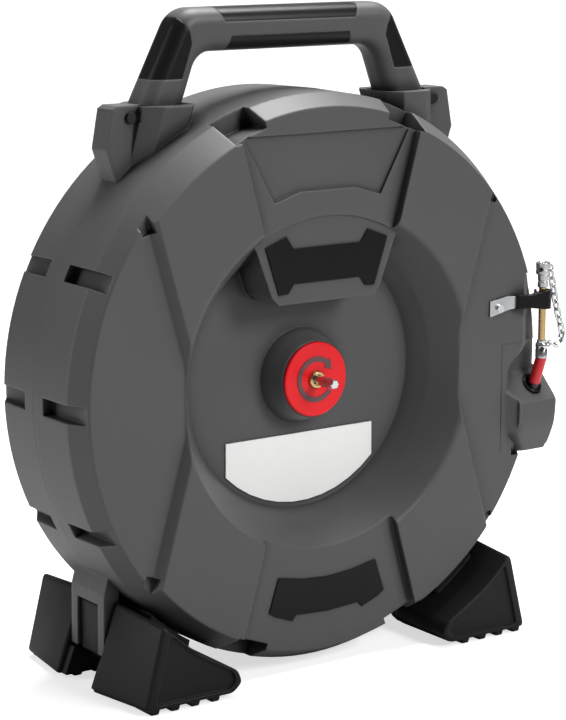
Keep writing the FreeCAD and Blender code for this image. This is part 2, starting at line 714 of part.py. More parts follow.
keep("drive_shaft", make_drive_shaft())
coupling_blank = turned("coupling_blank", [
    (S.core_radius, -S.shaft_end), (S.shaft_radius, -S.shaft_end), (S.shaft_radius, -S.shaft_end - 8),
    (S.coupling_radius, -S.shaft_end - 8), (S.coupling_radius, -S.shaft_end + 6),
    (S.coupling_radius - 2, -S.shaft_end + 8), (S.core_radius, -S.shaft_end + 8)])
keep("cable_core", turned("cable_core", [
    (0, -S.shaft_end), (S.core_radius, -S.shaft_end), (S.core_radius, -20.6), (0, -20.6)]))

# ------------------------------------------------------------------ carousel


def make_axle():
    """The fixed axle: a journal for the carousel and a collar against the case."""
    return turned("carousel_axle", [
        (0, 33.5), (S.axle_radius, 33.5), (S.axle_radius, 46.4), (S.axle_radius + 4, 46.4),
        (S.axle_radius + 4, S.rear_dish_floor - S.shell_wall),
        (S.axle_radius, S.rear_dish_floor - S.shell_wall),
        (S.axle_radius, 67), (0, 67)])


def make_axle_nut():
    """The hex nut and its washer behind the rear shell."""
    body = new_body("axle_nut_body")
    turn(body, [(S.axle_radius, S.rear_dish_floor), (S.axle_radius + 8, S.rear_dish_floor),
                (S.axle_radius + 8, S.rear_dish_floor + 1.6), (S.axle_radius, S.rear_dish_floor + 1.6)])
    sketch = new_sketch(body, "XZ_Plane", -S.rear_dish_floor - 1.6)
    draw_outline(sketch, [polar(13.5, 60 * step) for step in range(6)])
    draw_circle(sketch, 0, 0, S.axle_radius)
    feature(body, "Pad", sketch, 7, True)
    return body


def make_carousel():
    """The turning drum: a web behind the coil, a wall inside it and a hub."""
    web_back = S.carousel_web + S.web_thickness
    hub_bore = S.rear_bearing_radius + S.running_gap
    body = new_body("carousel_body")
    turn(body, [
        (0, web_back + 1), (hub_bore, web_back + 1), (hub_bore, 48), (hub_bore + 6, 48),
        (hub_bore + 6, web_back), (S.coil_outer + 2, web_back), (S.coil_outer + 2, S.carousel_web),
        (S.coil_inner, S.carousel_web), (S.coil_inner, -S.coil_half - 1),
        (S.coil_inner - 9, -S.coil_half - 1), (S.coil_inner - 9, S.carousel_web), (0, S.carousel_web)])
    for angle in range(0, 360, 60):
        window = strip(polar(62, angle), polar(148, angle), 46)
        pocket(body, "XZ_Plane", -S.carousel_web + 1, window, 8, True)
    holes(body, FRONT, S.coil_half + 1, RING_SPOTS, S.small_screw, 14)
    holes(body, FRONT, -S.carousel_web, SADDLE_SPOTS, S.small_screw, 3)
    return body


RING_SPOTS = ring_spots(S.coil_inner - 5, range(10, 370, 60))
SADDLE_REACHES = (52, 90)
SADDLE_SPOTS = [(x, reach) for reach in SADDLE_REACHES for x in (-10.5, 10.5)]
GUIDE_ANGLE = 90
GUIDE_LEVEL = 18


def guide_route():
    """The sheath's inner run: out of the hub, along a spoke, round to the coil."""
    angle = math.radians(GUIDE_ANGLE)
    out = Vector(math.cos(angle), 0, math.sin(angle))
    side = Vector(-math.sin(angle), 0, math.cos(angle))
    back = Vector(0, 1, 0)
    bend, sweep, reach = 38.0, 50.0, 100.0
    half = math.sqrt(0.5)
    start = back * (GUIDE_LEVEL - bend)
    turned_out = out * bend + back * GUIDE_LEVEL
    middle = start + out * (bend * (1 - half)) + back * (bend * half)
    spoke_end = out * reach + back * GUIDE_LEVEL
    swept = spoke_end + out * sweep + side * sweep
    swept_middle = spoke_end + out * (sweep * half) + side * (sweep * (1 - half))
    return Part.Wire([Part.Arc(start, middle, turned_out).toShape(),
                      Part.makeLine(turned_out, spoke_end),
                      Part.Arc(spoke_end, swept_middle, swept).toShape(),
                      Part.makeLine(swept, swept + side * 42)]), start, back


def tube(name, wire, start, heading, radius):
    """A round cord along a wire, and a check of its volume."""
    section = Part.Wire(Part.Circle(start, heading, radius).toShape())
    shape = wire.makePipeShell([section], True, False)
    expected = math.pi * radius ** 2 * wire.Length
    print(name, "length %.1f mm, volume %.3f of section times length"
          % (wire.Length, abs(shape.Volume) / expected))
    return shaped(name + "_shape", shape)


guide_wire, guide_start, guide_heading = guide_route()
guide_tube = tube("guide_tube", guide_wire, guide_start, guide_heading, S.sheath_radius.value)
guide_space = tube("guide_space", guide_wire, guide_start, guide_heading, S.sheath_radius.value + 0.6)
keep("carousel_axle", make_axle())
keep("axle_nut", make_axle_nut())
keep("rear_bearing", ring("rear_bearing", S.axle_radius, S.rear_bearing_radius, 34, 46))
keep("carousel_drum", cut("carousel_cut", make_carousel(), guide_space))


def make_carousel_ring():
    body = new_body("carousel_ring_body")
    turn(body, [(S.coil_inner - 9, -S.coil_half - 1), (S.coil_outer - 14, -S.coil_half - 1),
                (S.coil_outer - 14, -S.coil_half - 4), (S.coil_inner - 9, -S.coil_half - 4)])
    holes(body, FRONT, S.coil_half + 4, RING_SPOTS, 2, 8)
    return body


keep("carousel_ring", make_carousel_ring())


def screw(spot, level, side, shank, head, length, head_height):
    """A screw along Y: its head stands at the level, and its shank goes in from there
    towards the given side."""
    x, z = plain(spot[0]), plain(spot[1])
    into = Vector(0, -side, 0)
    seat = Vector(x, level, z)
    body = Part.makeCylinder(shank, length, seat, into)
    cap = Part.makeCylinder(head, head_height, seat, -into)
    return body.fuse(cap).removeSplitter()


def group(name, solids):
    return keep(name, shaped(name + "_shape", Part.makeCompound(solids)))


group("carousel_screws", [screw(spot, -S.coil_half.value - 4, REAR, S.small_screw.value, 3.4, 13, 2.4)
                          for spot in RING_SPOTS])
cable_coil = keep("cable_coil", turned("cable_coil", [
    (S.coil_inner + 3, -S.coil_half), (S.coil_outer - 3, -S.coil_half),
    (S.coil_outer, -S.coil_half + 3), (S.coil_outer, S.coil_half - 3),
    (S.coil_outer - 3, S.coil_half), (S.coil_inner + 3, S.coil_half),
    (S.coil_inner, S.coil_half - 3), (S.coil_inner, -S.coil_half + 3)]))
keep("guide_tube", cut("guide_tube_cut", guide_tube, cable_coil))


def make_saddle(reach):
    """A moulded clip that holds the guide tube on the carousel's web."""
    web = S.carousel_web.value
    low = reach - 5
    foot = Part.makeBox(26, 3, 10, Vector(-13, web - 3, low))
    hump = Part.makeCylinder(8, 10, Vector(0, GUIDE_LEVEL, low), UP)
    base = Part.makeBox(16, web - GUIDE_LEVEL, 10, Vector(-8, GUIDE_LEVEL, low))
    shape = foot.fuse([hump, base]).removeSplitter()
    shape = shape.cut(Part.makeCylinder(S.sheath_radius.value, 12, Vector(0, GUIDE_LEVEL, low - 1), UP))
    for x, z in SADDLE_SPOTS:
        shape = shape.cut(Part.makeCylinder(S.small_screw.value, 5, Vector(x, web - 4, z), BACK))
    return shape


group("guide_clips", [make_saddle(reach) for reach in SADDLE_REACHES])
group("guide_screws", [screw(spot, S.carousel_web.value - 3, REAR, S.small_screw.value, 2.4, 5.5, 1.6)
                       for spot in SADDLE_SPOTS])

# the two set screws that lock the shaft and the cable's core in the coupling
lock_screws = [Part.makeCylinder(1.6, 5.4, Vector(5, -34, 0), Vector(1, 0, 0)),
               Part.makeCylinder(1.6, 7.4, Vector(3, -26, 0), Vector(1, 0, 0))]
lock_tool = group("coupling_screws", lock_screws)
keep("shaft_coupling", cut("coupling_cut", coupling_blank, lock_tool))

# --------------------------------------------- sheath from coil to the outlet

ROD = Vector(S.rod_x.value, S.rod_y.value, 0)
TAIL_DOWN = Vector(-0.183, 0.165, -0.969).normalize()
SLEEVE_TOP = ROD + Vector(0, 0, S.sleeve_top.value)
SLEEVE_LENGTH = 24.5
TAIL_LENGTH = 34.5
SLEEVE_END = SLEEVE_TOP + TAIL_DOWN * SLEEVE_LENGTH
TAIL_END = SLEEVE_END + TAIL_DOWN * TAIL_LENGTH


def rounded_route(points):
    """Straight runs joined by tangent arcs, each as large as its runs allow."""
    edges = []
    last = points[0]
    radii = []
    for index in range(1, len(points) - 1):
        before = (points[index - 1] - points[index])
        after = (points[index + 1] - points[index])
        reach = 0.45 * min(before.Length, after.Length)
        before.normalize()
        after.normalize()
        half_turn = (math.pi - before.getAngle(after)) / 2
        radii.append(reach / math.tan(half_turn))
        start = points[index] + before * reach
        end = points[index] + after * reach
        inward = (before + after).normalize()
        to_arc = radii[-1] / math.cos(half_turn) - radii[-1]
        edges.append(Part.makeLine(last, start))
        edges.append(Part.Arc(start, points[index] + inward * to_arc, end).toShape())
        last = end
    edges.append(Part.makeLine(last, points[-1]))
    print("cable lead radii", ["%.0f" % radius for radius in radii])
    return Part.Wire(edges)


def lead_point(radius, degrees, level):
    x, z = polar(radius, degrees)
    return Vector(x, level, z)


LEAD_POINTS = [lead_point(S.lead_circle.value, angle, -S.lead_level.value)
               for angle in (-112, -97, -82, -67)]
LEAD_POINTS += [lead_point(217, -53, -33), lead_point(225, -41, -40), lead_point(233, -29, -49),
                TAIL_END + TAIL_DOWN * 21, TAIL_END]
lead_wire = rounded_route(LEAD_POINTS)
cable_lead = tube("cable_lead", lead_wire, LEAD_POINTS[0], LEAD_POINTS[1] - LEAD_POINTS[0],
                  S.sheath_radius.value)
keep("cable_lead", cable_lead)

# the tunnel for the sheath, wide enough for the pull of the parked end
SHIFT = Vector(-1.4, 1.3, 0)
tunnel_base = TAIL_END + TAIL_DOWN * 24 + SHIFT
upper_tunnel = Part.makeCylinder(S.tunnel_radius.value, 100, tunnel_base, -TAIL_DOWN)
lower_end = LEAD_POINTS[-3]
lower_heading = (lower_end - LEAD_POINTS[-2])
lower_tunnel = Part.makeCylinder(S.tunnel_radius.value - 0.5, lower_heading.Length,
                                 LEAD_POINTS[-2], lower_heading)
tunnel = shaped("cable_tunnel", upper_tunnel.fuse(lower_tunnel))

FACE_NORMAL = Vector(0, -math.sqrt(0.5), math.sqrt(0.5))
FACE_CENTRE = SLEEVE_END + SHIFT
to_face = FACE_CENTRE.y + S.outlet_slope.value - FACE_CENTRE.z
FACE_CENTRE = FACE_CENTRE + TAIL_DOWN * (to_face / (TAIL_DOWN.z - TAIL_DOWN.y))
keep("front_shell", cut("front_shell_cut", cut("tunnel_cut", front_body, tunnel), cable_lead))
flange = Part.makeCylinder(9.2, 2.2, FACE_CENTRE, FACE_NORMAL)
neck = Part.makeCylinder(S.tunnel_radius.value, 8, FACE_CENTRE + TAIL_DOWN * 10, -TAIL_DOWN)
sheath_hole = Part.makeCylinder(S.tunnel_radius.value - 0.7, 60, FACE_CENTRE + TAIL_DOWN * 30, -TAIL_DOWN)
keep("outlet_grommet", shaped("grommet_shape", flange.fuse(neck).cut(sheath_hole)))

# ---------------------------------------------------------- parked cable end

keep("sheath_tail", shaped("tail_shape", Part.makeCylinder(
    S.sheath_radius.value, TAIL_LENGTH, TAIL_END, -TAIL_DOWN)))
sleeve_foot = Part.makeCylinder(S.sleeve_radius.value, SLEEVE_LENGTH + 6, SLEEVE_END, -TAIL_DOWN)
above = Part.makeBox(40, 40, 20, SLEEVE_TOP - Vector(20, 20, 0))
keep("sheath_sleeve", shaped("sleeve_shape", sleeve_foot.cut(above)))
rod_length = S.rod_top.value - S.sleeve_top.value
keep("cable_end", shaped("rod_shape", Part.makeCylinder(
    S.rod_radius.value, rod_length - 6, SLEEVE_TOP, Vector(0, 0, 1))))


def collar(low, height, radius):
    """A clamp collar on the cable end."""
    base = ROD + Vector(0, 0, low)
    outer = Part.makeCylinder(radius, height, base, Vector(0, 0, 1))
    bore = Part.makeCylinder(S.rod_radius.value, height, base, Vector(0, 0, 1))
    return outer.cut(bore)


def collar_lug(low, height):
    """The lug on a collar's right side that takes the chain's end link."""
    reach = S.collar_radius.value + 6
    plate = Part.makeBox(reach, 1.8, height, ROD + Vector(0, -0.9, low))
    hole = Part.makeCylinder(2, 6, ROD + Vector(reach - 2.9, -3, low + height / 2), Vector(0, 1, 0))
    bore = Part.makeCylinder(S.rod_radius.value, height, ROD + Vector(0, 0, low), Vector(0, 0, 1))
    return plate.cut(bore).cut(hole)


LOWER_LOW, LOWER_HIGH = S.sleeve_top.value, 12.0
UPPER_LOW = S.clip_z.value + S.clip_height.value / 2 + 2
keep("lower_collar", shaped("lower_collar_shape",
     collar(LOWER_LOW, LOWER_HIGH - LOWER_LOW, S.collar_radius.value).fuse(collar_lug(4, 7))))
upper = collar(UPPER_LOW, 12, 4.8).fuse(collar(UPPER_LOW + 12, S.rod_top.value - UPPER_LOW - 12, 6.6))
keep("upper_collar", shaped("upper_collar_shape", upper.fuse(collar_lug(74, 7))))


def set_screw(level, radius, degrees):
    """A socket screw that stands a little out of a collar."""
    angle = math.radians(degrees)
    out = Vector(math.cos(angle), math.sin(angle), 0)
    base = ROD + Vector(0, 0, level) + out * (S.rod_radius.value + 0.1)
    return Part.makeCylinder(2, radius - S.rod_radius.value + 1.4, base, out)


keep("upper_collar", shaped("upper_collar_final", parts["upper_collar"].Shape.cut(
    set_screw(78, 6.6, 215))))
keep("lower_collar", shaped("lower_collar_final", parts["lower_collar"].Shape.cut(
    set_screw(4, S.collar_radius.value, 235))))
group("collar_screws", [set_screw(78, 6.6, 215), set_screw(4, S.collar_radius.value, 235)])


def walk(path, pitch, count):
    """Points a pitch apart along a polyline; None when the path is too short."""
    points = [path[0]]
    index = 0
    for _ in range(count):
        while index < len(path) and (path[index] - points[-1]).Length < pitch:
            index += 1
        if index == len(path):
            return None
        points.append(points[-1] + (path[index] - points[-1]).normalize() * pitch)
    return points


def chain_points(corners, count):
    """Joints of a chain that hangs along a smooth curve, with equal links."""
    curve = Part.BSplineCurve()
    curve.interpolate([Vector(x, S.rod_y.value, z) for x, z in corners])
    path = curve.discretize(1500)
    low, high = 5.0, 12.0
    for _ in range(40):
        middle = (low + high) / 2
        if walk(path, middle, count) is None:
            high = middle
        else:
            low = middle
    return walk(path, low, count), low


def make_link(start, end, flat):
    """One chain link between two joints: a few-sided oval of round wire."""
    along = (end - start)
    pitch = along.Length
    along.normalize()
    across_link = (BACK if flat else BACK.cross(along)).normalize()
    normal = along.cross(across_link)
    middle = (start + end) / 2
    wire = S.link_wire.value
    half_long = pitch / 2 + wire + 0.05
    half_wide = S.link_width.value / 2 - wire
    bend = half_wide * 0.42
    loop = [(half_long, bend), (half_long - bend, half_wide), (-half_long + bend, half_wide),
            (-half_long, bend), (-half_long, -bend), (-half_long + bend, -half_wide),
            (half_long - bend, -half_wide), (half_long, -bend)]
    rings = []
    for index, (u, v) in enumerate(loop):
        before, after = loop[index - 1], loop[(index + 1) % len(loop)]
        way_in = Vector(u - before[0], v - before[1], 0).normalize()
        way_out = Vector(after[0] - u, after[1] - v, 0).normalize()
        mitre = (way_in + way_out).normalize()
        outward = Vector(mitre.y, -mitre.x, 0) * (1 / mitre.dot(way_in))
        ring_points = []
        for side in range(6):
            angle = math.radians(60 * side)
            flat_part = outward * (wire * math.cos(angle))
            point = (middle + along * (u + flat_part.x) + across_link * (v + flat_part.y)
                     + normal * (wire * math.sin(angle)))
            ring_points.append(point)
        rings.append(ring_points)
    faces = []
    for index, current in enumerate(rings):
        following = rings[(index + 1) % len(rings)]
        for side in range(6):
            other = (side + 1) % 6
            corners = [current[side], current[other], following[other], following[side]]
            faces.append(Part.Face(Part.makePolygon(corners + corners[:1])))
    return Part.Solid(Part.Shell(faces))


LUG_HOLE = ROD.x + S.collar_radius.value + 3.1
chain_curve = [(LUG_HOLE, 75.8), (252.6, 65), (256, 50), (260, 35), (264.3, 22), (266, 14),
               (263.6, 7), (257.6, 4.6), (LUG_HOLE + 1.7, 7.5)]
joints, pitch = chain_points(chain_curve, 11)
print("chain pitch %.2f" % pitch)
group("knocker_chain", [make_link(joints[index], joints[index + 1], index % 2 == 0)
                        for index in range(11)])

# ------------------------------------------------------------- parking clip

CLIP_Z = S.clip_z.value
STRIP_FRONT = ROD.y - 5.5
SECTOR_FLOOR = -S.front_face.value + S.sector_step.value
STRIP_THICK = 1.5
strip_outline = [(181, 38), (202, 42), (241, 45), (241, 59), (202, 57), (181, 53)]
strip_profile = [(181, SECTOR_FLOOR), (181, SECTOR_FLOOR - STRIP_THICK), (204, SECTOR_FLOOR - STRIP_THICK),
                 (221, STRIP_FRONT), (241, STRIP_FRONT), (241, STRIP_FRONT + STRIP_THICK),
                 (221.5, STRIP_FRONT + STRIP_THICK), (204.5, SECTOR_FLOOR)]
sleeve_outline = [(209, 40), (241, 41), (241, 59), (209, 60)]
sleeve_profile = [(209, -77.9), (221.5, STRIP_FRONT - 1.9), (241, STRIP_FRONT - 1.9),
                  (241, STRIP_FRONT + 3.3), (222.5, STRIP_FRONT + 3.3), (209.5, SECTOR_FLOOR - 0.5)]
jaw_mouth = Part.makeBox(6.4, 20, 40, Vector(ROD.x - 3.2, ROD.y, CLIP_Z - 20))
rod_space = Part.makeCylinder(S.rod_radius.value + S.jaw_gap.value, 40, ROD + UP * (CLIP_Z - 20), UP)


def flat_prism(corners, low, high):
    """An XZ outline as a solid between two Y levels."""
    points = [Vector(x, low, z) for x, z in corners]
    return Part.Face(Part.makePolygon(points + points[:1])).extrude(Vector(0, high - low, 0))


def jaw(radius, low, high):
    return Part.makeCylinder(radius, high - low, ROD + UP * low, UP)


def bent_strip(profile, outline):
    """An XY profile raised along Z, and trimmed to an XZ outline."""
    points = [Vector(x, y, 0) for x, y in profile]
    raised = Part.Face(Part.makePolygon(points + points[:1])).extrude(UP * 90)
    return raised.common(flat_prism(outline, -95, -60))


bracket = bent_strip(strip_profile, strip_outline).fuse(jaw(5.5, 45, 59))
bracket = bracket.cut(rod_space).cut(jaw_mouth).removeSplitter()
sleeve = bent_strip(sleeve_profile, sleeve_outline).fuse(jaw(8, 41, 59))
sleeve = sleeve.cut(rod_space).cut(jaw_mouth).cut(bracket).removeSplitter()
clip_screw = screw(CLIP_SPOT, SECTOR_FLOOR - STRIP_THICK, REAR, S.small_screw.value, 3.8, 11, 2.2)
keep("clip_sleeve", shaped("clip_sleeve_shape", sleeve))
keep("clip_bracket", shaped("clip_bracket_shape", bracket.cut(clip_screw)))
keep("clip_screw", shaped("clip_screw_shape", clip_screw))

# ------------------------------------------------------------ plates, screws

PLATE = 1.2
upper_outline = [(-64.5, 122.5), (-43, 130.5), (-35.5, 119.5), (35.5, 119.5), (43, 130.5), (64.5, 122.5),
                 (50.5, 81), (41, 81.5), (35, 89.5), (-35, 89.5), (-41, 81.5), (-50.5, 81)]
keep("upper_plate", prism("upper_plate_shape", upper_outline, -70 - PLATE, -70))
lower_outline = [(-52.5, -167), (-26, -172), (0, -174), (26, -172), (52.5, -167), (62.5, -197),
                 (56, -201), (38, -208), (34, -203), (0, -205), (-34, -203), (-38, -208),
                 (-56, -201), (-62.5, -197)]
sector_floor = -S.front_face.value + S.sector_step.value
keep("lower_plate", prism("lower_plate_shape", lower_outline, sector_floor - PLATE, sector_floor))
panel_arc = [polar(114, angle) for angle in range(-134, -45, 8)]
keep("floor_panel", prism("floor_panel_shape", [(-79, -52)] + panel_arc + [(79, -52)],
                          -S.dish_floor.value - PLATE, -S.dish_floor.value))

group("shell_screws", [screw(spot, 40, FRONT, S.case_screw.value, 4.5, 58, 4) for spot in BOSS_SPOTS])
group("handle_screws", [screw((S.ear_screw_x * hand, S.ear_screw_z), -S.ear_half.value, REAR,
                              S.case_screw.value, 4.5, 2 * S.ear_half.value, 3) for hand in (-1, 1)])
foot_screws = []
for x in (-S.foot_screw_x.value, S.foot_screw_x.value):
    for y in (-S.foot_screw_y.value, S.foot_screw_y.value):
        seat = Vector(x, y, S.foot_seat.value)
        shank = Part.makeCylinder(S.case_screw.value, 48, seat, UP)
        foot_screws.append(shank.fuse(Part.makeCylinder(5, 3.5, seat, -UP)).removeSplitter())
group("foot_screws", foot_screws)

# ------------------------------------------------------------ check and save

doc.recompute()
for item in doc.Objects:
    if "Invalid" in item.State or "Error" in item.State:
        raise RuntimeError("could not build " + item.Label)
os.makedirs("parts", exist_ok=True)
lift = Vector(S.centre_shift.value, 0, S.centre_height.value)
for name, thing in parts.items():
    shape = thing.Shape
    if shape.isNull() or not shape.isValid():
        raise RuntimeError("no valid shape for " + name)
    shape = shape.copy()
    shape.translate(lift)
    shape.exportStep("parts/%s.step" % name)
    print("%-18s %d solids %10.0f mm3" % (name, len(shape.Solids), shape.Volume))
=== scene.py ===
# %% [markdown]
# # A portable drain cleaning machine
#
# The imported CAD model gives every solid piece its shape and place. This lesson dresses it:
# moulded grey plastic, black rubber, turned brass and plated steel. It also makes the pieces
# whose real form is softer than the CAD solid: the rubber feet, the chain's links, the outlet's
# housing, the spring clip and the turned collars. Everything is in metres, with +Z up and the
# front of the machine towards -Y. Sizes and places on the case are written in millimetres about
# its centre, as on a drawing.

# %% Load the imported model
import json
import math

import bmesh
import bpy
import numpy as np
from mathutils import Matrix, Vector


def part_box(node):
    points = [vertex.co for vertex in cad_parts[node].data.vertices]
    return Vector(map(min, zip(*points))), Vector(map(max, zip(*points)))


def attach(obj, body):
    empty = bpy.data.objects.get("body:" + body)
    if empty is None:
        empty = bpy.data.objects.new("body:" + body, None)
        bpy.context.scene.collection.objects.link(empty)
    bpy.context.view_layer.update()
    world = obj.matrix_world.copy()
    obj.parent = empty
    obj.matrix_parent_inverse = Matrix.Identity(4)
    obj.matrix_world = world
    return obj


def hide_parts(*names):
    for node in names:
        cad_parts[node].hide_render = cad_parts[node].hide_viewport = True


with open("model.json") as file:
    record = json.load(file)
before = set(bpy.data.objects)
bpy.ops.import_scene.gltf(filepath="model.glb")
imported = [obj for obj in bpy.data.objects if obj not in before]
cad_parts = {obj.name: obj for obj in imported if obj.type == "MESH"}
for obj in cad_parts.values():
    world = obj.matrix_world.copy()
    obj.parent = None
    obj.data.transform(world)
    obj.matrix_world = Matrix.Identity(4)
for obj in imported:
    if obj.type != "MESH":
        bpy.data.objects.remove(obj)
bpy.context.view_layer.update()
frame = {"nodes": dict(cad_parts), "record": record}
nodes = frame["nodes"]
print("pieces in the frame:", len(nodes))

# %% [markdown]
# ## Where the machine is
#
# The hub's cap is a disc round the axis of the case, so its middle gives the axis. The seam of
# the two shells lies in the plane Y = 0, and the case's centre is where the axis meets that
# plane. Every other place in this lesson is given from that point or read from the CAD piece that
# it belongs to.

# %% The case's centre
MM = 0.001

cap_low, cap_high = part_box("hub_cap")
cap_middle = (cap_low + cap_high) / 2
CASE_CENTRE = Vector((cap_middle.x, 0, cap_middle.z))
print("case centre", [round(value, 4) for value in CASE_CENTRE])

# %% [markdown]
# ## Camera
#
# A long lens from about two metres keeps the round case nearly circular. The camera stands to the
# left of the front and a little above the hub, and its small vertical shift centres the machine.

# %% Camera
TURN, RISE, DISTANCE = math.radians(-35.29), math.radians(11.56), 2.10976
LENS_IN_IMAGE_HEIGHTS, SHIFT_UP = 3.3032, 0.0138

away = Vector((math.sin(TURN) * math.cos(RISE), -math.cos(TURN) * math.cos(RISE), math.sin(RISE)))
camera_data = bpy.data.cameras.new("camera")
camera_data.lens = LENS_IN_IMAGE_HEIGHTS * camera_data.sensor_width
camera_data.shift_y = SHIFT_UP
camera_data.clip_end = 20  # past the far end of the studio's wall
camera = bpy.data.objects.new("camera", camera_data)
camera.location = CASE_CENTRE + Vector((0, -5 * MM, 0)) + away * DISTANCE
camera.rotation_euler = away.to_track_quat("Z", "Y").to_euler()
bpy.context.scene.collection.objects.link(camera)
bpy.context.scene.camera = camera
print("camera at", [round(value, 3) for value in camera.location])

# %% [markdown]
# ## Studio
#
# A pale floor that turns into a wall in one sweep gives a horizon-free background. Three large
# soft lamps light the machine: a key from the upper right, which leaves the dish's right wall in
# shade, one from behind on the left that draws the rim, and one from above. The world is white
# where the camera sees it, and adds only a little light, so that the shaded sides keep their
# form.

# %% Floor and sweep
def mesh_piece(name, points, faces, smooth=True):
    """A new object from an array of points and a list of faces."""
    mesh = bpy.data.meshes.new(name)
    mesh.from_pydata(np.asarray(points, float).reshape(-1, 3).tolist(), [], faces)
    mesh.polygons.foreach_set("use_smooth", [smooth] * len(mesh.polygons))
    mesh.update()
    piece = bpy.data.objects.new(name, mesh)
    bpy.context.scene.collection.objects.link(piece)
    return piece


def grid_faces(rows, columns, wrap_rows=False, wrap_columns=False):
    """The quads of a grid of points, joined end to end where a direction wraps."""
    row_count = rows if wrap_rows else rows - 1
    column_count = columns if wrap_columns else columns - 1
    row, column = np.meshgrid(np.arange(row_count), np.arange(column_count), indexing="ij")
    next_row, next_column = (row + 1) % rows, (column + 1) % columns
    quads = np.stack([row * columns + column, next_row * columns + column,
                      next_row * columns + next_column, row * columns + next_column], -1)
    return quads.reshape(-1, 4).tolist()


def floor_sweep():
    """A floor that curves up into a wall: a flat run, a quarter circle and a straight rise."""
    bend, near, run, rise, half_width = 1.2, -4.0, 2.2, 4.0, 6.0
    angles = np.linspace(0, math.pi / 2, 24)
    along = np.concatenate([[near], run + bend * np.sin(angles), [run + bend]])
    height = np.concatenate([[0.0], bend * (1 - np.cos(angles)), [rise]])
    across = np.linspace(-half_width, half_width, 2)
    towards = -away.copy()
    towards.z = 0
    towards.normalize()
    side = Vector((towards.y, -towards.x, 0))
    points = (along[:, None, None] * np.array(towards) + across[None, :, None] * np.array(side)
              + height[:, None, None] * np.array((0, 0, 1)))
    return mesh_piece("studio_floor", points, grid_faces(len(along), 2))


floor = floor_sweep()


PAPER_GREY, PAPER_GLOW = 0.62, 0.66


def stage_material():
    """Matt pale paper. It glows for the camera alone, so it looks white and sends out no light."""
    material = bpy.data.materials.new("studio_paper")
    material.use_nodes = True
    tree = material.node_tree
    shader = tree.nodes["Principled BSDF"]
    shader.inputs["Base Color"].default_value = (*[PAPER_GREY] * 3, 1)
    shader.inputs["Roughness"].default_value = 0.9
    shader.inputs["Specular IOR Level"].default_value = 0.2
    shader.inputs["Emission Color"].default_value = (1, 1, 1, 1)
    light_path = tree.nodes.new("ShaderNodeLightPath")
    strength = tree.nodes.new("ShaderNodeMath")
    strength.operation = "MULTIPLY"
    strength.inputs[1].default_value = PAPER_GLOW
    tree.links.new(light_path.outputs["Is Camera Ray"], strength.inputs[0])
    tree.links.new(strength.outputs[0], shader.inputs["Emission Strength"])
    return material


floor.data.materials.append(stage_material())

# %% Lamps
def soft_lamp(name, place, size, power):
    """An area lamp of so many watts that looks at the middle of the case and isn't seen itself."""
    lamp = bpy.data.lights.new(name, "AREA")
    lamp.shape = "RECTANGLE"
    lamp.size, lamp.size_y = size
    lamp.energy = power
    holder = bpy.data.objects.new(name, lamp)
    holder.visible_camera = False
    holder.location = place
    holder.rotation_euler = (Vector(place) - CASE_CENTRE).to_track_quat("Z", "Y").to_euler()
    bpy.context.scene.collection.objects.link(holder)


soft_lamp("key_lamp", (0.9, -2.3, 1.7), (1.0, 1.0), 56)
soft_lamp("rim_lamp", (-2.0, 0.9, 0.9), (1.0, 1.6), 22)
soft_lamp("top_lamp", (0.6, 0.3, 2.4), (1.4, 1.0), 100)

# %% World
ROOM_LIGHT, SEEN_LEVEL = 0.08, 1.0

world = bpy.data.worlds.new("pale_room")
bpy.context.scene.world = world
world.use_nodes = True
background = world.node_tree.nodes["Background"]
background.inputs["Color"].default_value = (1, 1, 1, 1)
world_rays = world.node_tree.nodes.new("ShaderNodeLightPath")
world_level = world.node_tree.nodes.new("ShaderNodeMapRange")
world_level.inputs["To Min"].default_value = ROOM_LIGHT
world_level.inputs["To Max"].default_value = SEEN_LEVEL
world.node_tree.links.new(world_rays.outputs["Is Camera Ray"], world_level.inputs["Value"])
world.node_tree.links.new(world_level.outputs["Result"], background.inputs["Strength"])
bpy.context.scene.view_settings.view_transform = "Standard"

# %% [markdown]
# ## Shared effects
#
# Five effects come back in many finishes, so each is a node group: the fine grain of moulded
# plastic, the rounding and wear of edges, the brushed or turned lines of metal, a little dust on
# the faces that look up, and a mask for painted shade in slots and corners. Each gives colours,
# masks and heights only. The shader stays in the material.

# %% Helper for node groups
def new_group(name, inputs, outputs):
    """An empty shader group with named sockets. Returns it with its input and output nodes."""
    group = bpy.data.node_groups.new(name, "ShaderNodeTree")
    for label, kind, value in inputs:
        socket = group.interface.new_socket(name=label, in_out="INPUT", socket_type=kind)
        if value is not None:
            socket.default_value = value
    for label, kind in outputs:
        group.interface.new_socket(name=label, in_out="OUTPUT", socket_type=kind)
    return group, group.nodes.new("NodeGroupInput"), group.nodes.new("NodeGroupOutput")


def math_node(tree, operation, first, second=None, clamp=False):
    """A Math node. Each operand is a number or another node's output."""
    node = tree.nodes.new("ShaderNodeMath")
    node.operation = operation
    node.use_clamp = clamp
    for index, operand in enumerate((first, second)):
        if operand is None:
            continue
        if isinstance(operand, (int, float)):
            node.inputs[index].default_value = operand
        else:
            tree.links.new(operand, node.inputs[index])
    return node.outputs[0]


def noise_node(tree, scale, detail, roughness=0.5, vector=None):
    """A Noise Texture. Its scale is a number or another node's output."""
    node = tree.nodes.new("ShaderNodeTexNoise")
    node.inputs["Detail"].default_value = detail
    node.inputs["Roughness"].default_value = roughness
    if isinstance(scale, (int, float)):
        node.inputs["Scale"].default_value = scale
    else:
        tree.links.new(scale, node.inputs["Scale"])
    if vector is not None:
        tree.links.new(vector, node.inputs["Vector"])
    return node.outputs["Fac"]


def object_place(tree):
    """Where a point is on its own object, so that a pattern stays with a piece that moves."""
    return tree.nodes.new("ShaderNodeTexCoord").outputs["Object"]


